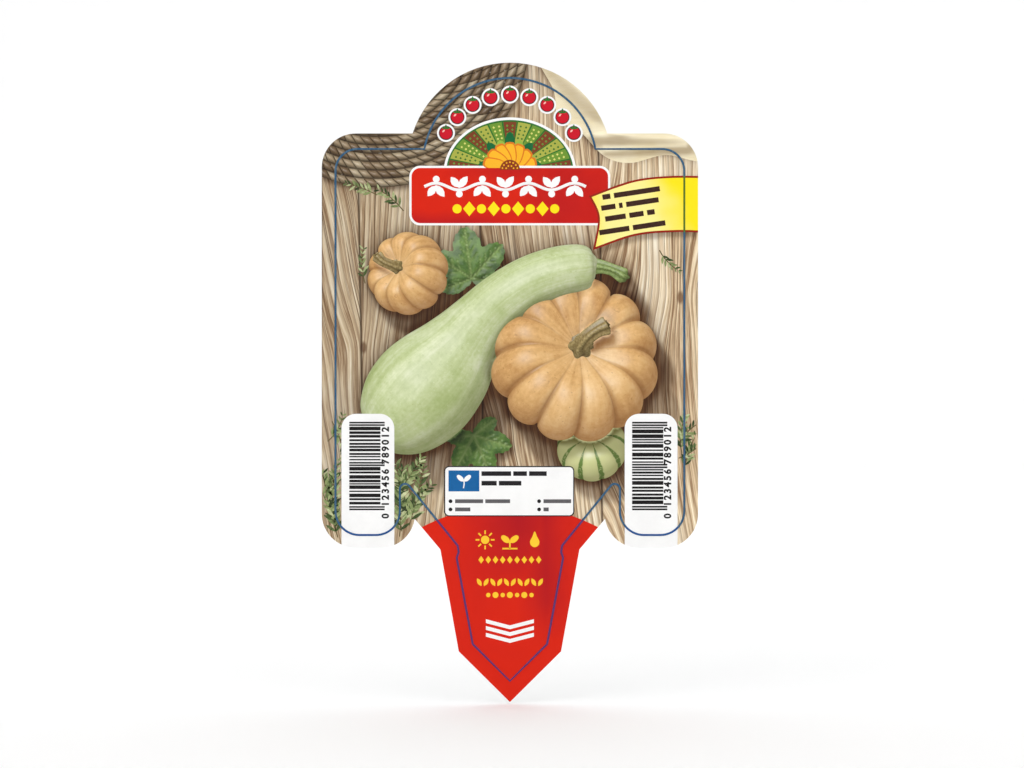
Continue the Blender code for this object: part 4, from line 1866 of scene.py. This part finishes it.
class LABEL_OT_back(bpy.types.Operator):
    """Prints the back with garden signs, a year of months and plain rules"""

    bl_idname = "label.back"
    bl_label = "Print the back"

    def execute(self, context):
        green = plain_ink("back_green", colours().green)
        ink = plain_ink("back_ink", paint(58, 60, 58))
        white = white_ink("back_white")
        level = STEP_UP + INK_DEPTH
        slab("back_header", [box_outline(-30.0, 30.0, 87.0, 97.0, 2.6)], level, green, behind=True)
        marks("back_header_leaves", "leaf", [(-20 + 5 * i, 92.0, 4.2, 1.9, 30 if i % 2 else -30)
                                             for i in range(9)], level * 1.5, white, behind=True)
        self.months(green, plain_ink("back_pale", paint(206, 226, 196)), ink, level)
        self.rules(ink, green, level)
        self.signs(green, white, level)
        ribbon("back_line", [inset(laid().sheet, 2.6)], 0.35, level, green, closed=True, behind=True)
        return {"FINISHED"}

    def months(self, green, pale, ink, level):
        """Two rows of twelve cells, with the months for sowing and for picking filled."""
        cell, left = 5.2, -28.6
        for name, z, first, last in MONTHS:
            spots = [(-(left + cell * i), z, cell - 0.6, 3.6) for i in range(12)]
            busy, idle = spots[first - 1:last], spots[:first - 1] + spots[last:]
            marks(f"back_{name}_busy", "bar", busy, level, green, behind=True)
            marks(f"back_{name}_idle", "bar", idle, level, pale, behind=True)
        numbers = [(str(i + 1), -(left + cell * i), 80.4) for i in range(12)]
        digits("back_month_numbers", numbers, 2.1, level, ink, behind=True)

    def rules(self, ink, green, level):
        """Lines of advice as plain rules, with a leaf before each paragraph."""
        draw = random.Random(21)
        rows, leads = [], []
        z = 58.0
        for _ in range(4):
            leads.append((27.0, z, 2.4, 1.2, 40))
            for stop in (-27.0, -27.0, -6.0):
                x = 24.0
                while x > stop:
                    word = min(draw.uniform(2.2, 7.0), x - stop + 1.0)
                    rows.append((x - word / 2, z, word, 0.8))
                    x -= word + 0.9
                z -= 2.5
            z -= 2.4
        marks("back_rules", "bar", rows, level, ink, behind=True)
        marks("back_leads", "leaf", leads, level, green, behind=True)

    def signs(self, green, white, level):
        """Three round signs above the stake: sun, drop and sprout."""
        z, away, up = 11.5, 10.5, level * 1.5
        marks("back_sign_discs", "disc", [(x, z, 8.0, 8.0) for x in (away, 0.0, -away)], level, green,
              behind=True)
        sun("back_sun", away, z, 1.3, 2.4, (1.2, 0.45), up, white, behind=True)
        slab("back_drop", [turned(drop_outline(), 0.0, z, 0.0, 1.3)], up, white, behind=True)
        sprout_leaves("back_sprout", -away, z - 0.9, 50, (3.4, 1.8), up + STEP_UP * 0.2, white, behind=True)
        ribbon("back_sprout_stem", [[(-away, z - 0.6), (-away, z - 2.8)]], 0.45, up, white, behind=True)
        slab("back_arrow", chevrons((-14.0, -17.5, -21.0), 6.0, 3.2, 1.5), level, green, behind=True)


# A soft panel of light: (place, width, power, what it is turned to), in metres and watts
MIDDLE = (0.0, 0.0, 0.04)
WALL = (0.0, 2.1, 0.25)
SOFT_PANELS = (
    ((-0.9, -1.25, 1.05), 1.3, 4.2, MIDDLE), ((0.95, -1.25, 0.75), 1.3, 3.0, MIDDLE),
    ((0.0, 1.3, 1.2), 1.4, 0.9, MIDDLE), ((0.0, -0.3, 1.7), 1.6, 2.5, MIDDLE),
    ((0.0, 0.7, 1.3), 1.5, 4.2, WALL),
)


class LABEL_OT_stage(bpy.types.Operator):
    """Sets the floor, the soft lights, the pale surround and the camera"""

    bl_idname = "label.stage"
    bl_label = "Set the stage"

    def execute(self, context):
        self.bowl()
        self.lights()
        self.surround()
        self.camera()
        return {"FINISHED"}

    def bowl(self):
        """A wide plain floor whose rim rises smoothly into a wall."""
        floor, radius, bend = SHEET_LOW[2] * MM - 0.0004, 1.6, 0.6
        profile = [*arc(radius, bend, bend, -90, 0, 6.0), (radius + bend, 2.2)]
        around = 96
        points = [(0.0, 0.0, floor)]
        for reach, up in profile:
            points += [(*point, floor + up) for point in disc(0.0, 0.0, reach, around)]
        faces = [(0, 1 + i, 1 + (i + 1) % around) for i in range(around)]
        for row in range(len(profile) - 1):
            a, b = 1 + row * around, 1 + (row + 1) * around
            faces += [(a + i, b + i, b + (i + 1) % around, a + (i + 1) % around) for i in range(around)]
        mesh = bpy.data.meshes.new("studio_floor")
        mesh.from_pydata(points, [], faces)
        mesh.shade_smooth()
        finish = Finish("studio_paint", 0.9, 0.1)
        x, y, z = finish.place()
        cloud = finish.noise(finish.vector(x, y, z), 0.004, 2.0)
        finish.feed(finish.shader.inputs["Base Color"],
                    finish.mix(cloud, (0.94, 0.94, 0.94), (0.96, 0.96, 0.96)))
        mesh.materials.append(finish.material)
        linked("studio_floor", mesh)

    def lights(self):
        """Large soft panels: at both sides of the camera, behind, above, and one that lights the wall."""
        for i, (spot, size, power, target) in enumerate(SOFT_PANELS):
            data = bpy.data.lights.new(f"soft_panel_{i}", "AREA")
            data.shape = "SQUARE"
            data.size = size
            data.energy = power
            lamp = linked(f"soft_panel_{i}", data)
            lamp.location = spot
            lamp.rotation_euler = (Vector(target) - Vector(spot)).to_track_quat("-Z", "Y").to_euler()

    def surround(self):
        """A pale surround that lights the label evenly from all sides."""
        world = bpy.data.worlds.new("pale_surround")
        world.use_nodes = True
        sky = world.node_tree.nodes["Background"]
        sky.inputs["Color"].default_value = (1.0, 1.0, 1.0, 1.0)
        sky.inputs["Strength"].default_value = 0.88
        bpy.context.scene.world = world
        bpy.context.scene.view_settings.view_transform = "Standard"

    def camera(self):
        """Straight in front, 0.25 mm of the sheet to a pixel of a frame 1024 wide."""
        data = bpy.data.cameras.new("camera")
        data.lens = 85.0
        data.sensor_width = 36.0
        data.clip_start = 0.01
        data.clip_end = 20.0
        camera = linked("camera", data)
        camera.location = (0.000525, -0.605, 0.04135)
        camera.rotation_euler = (math.pi / 2, 0.0, 0.0)
        bpy.context.scene.camera = camera


STEPS = (LABEL_OT_sheet, LABEL_OT_boards, LABEL_OT_squashes, LABEL_OT_leaves, LABEL_OT_mat,
         LABEL_OT_emblem, LABEL_OT_name_panel, LABEL_OT_flag, LABEL_OT_bar_codes, LABEL_OT_form,
         LABEL_OT_stake, LABEL_OT_line, LABEL_OT_back, LABEL_OT_stage)


class LABEL_PT_steps(bpy.types.Panel):
    """Lists the steps and the sizes and colours they use"""

    bl_idname = "LABEL_PT_steps"
    bl_label = "Plant Label"
    bl_space_type = "VIEW_3D"
    bl_region_type = "UI"
    bl_category = "Plant Label"

    def draw(self, context):
        for step in STEPS:
            self.layout.operator(step.bl_idname)
        for group in (sizes(), colours(), picture()):
            box = self.layout.box()
            for name in group.__annotations__:
                box.prop(group, name)


GROUPS = (("label_sizes", LabelPrintSizes), ("label_colours", LabelPrintColours),
          ("label_picture", LabelPictureSizes))


def register():
    for name, group in GROUPS:
        bpy.utils.register_class(group)
        setattr(bpy.types.Scene, name, bpy.props.PointerProperty(type=group))
    for step in STEPS:
        bpy.utils.register_class(step)
    bpy.utils.register_class(LABEL_PT_steps)


def unregister():
    bpy.utils.unregister_class(LABEL_PT_steps)
    for step in reversed(STEPS):
        bpy.utils.unregister_class(step)
    for name, group in reversed(GROUPS):
        delattr(bpy.types.Scene, name)
        bpy.utils.unregister_class(group)


def main():
    """Registers the add-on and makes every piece."""
    register()
    for step in STEPS:
        family, name = step.bl_idname.split(".")
        getattr(getattr(bpy.ops, family), name)()
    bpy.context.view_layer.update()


if __name__ == "__main__":
    main()
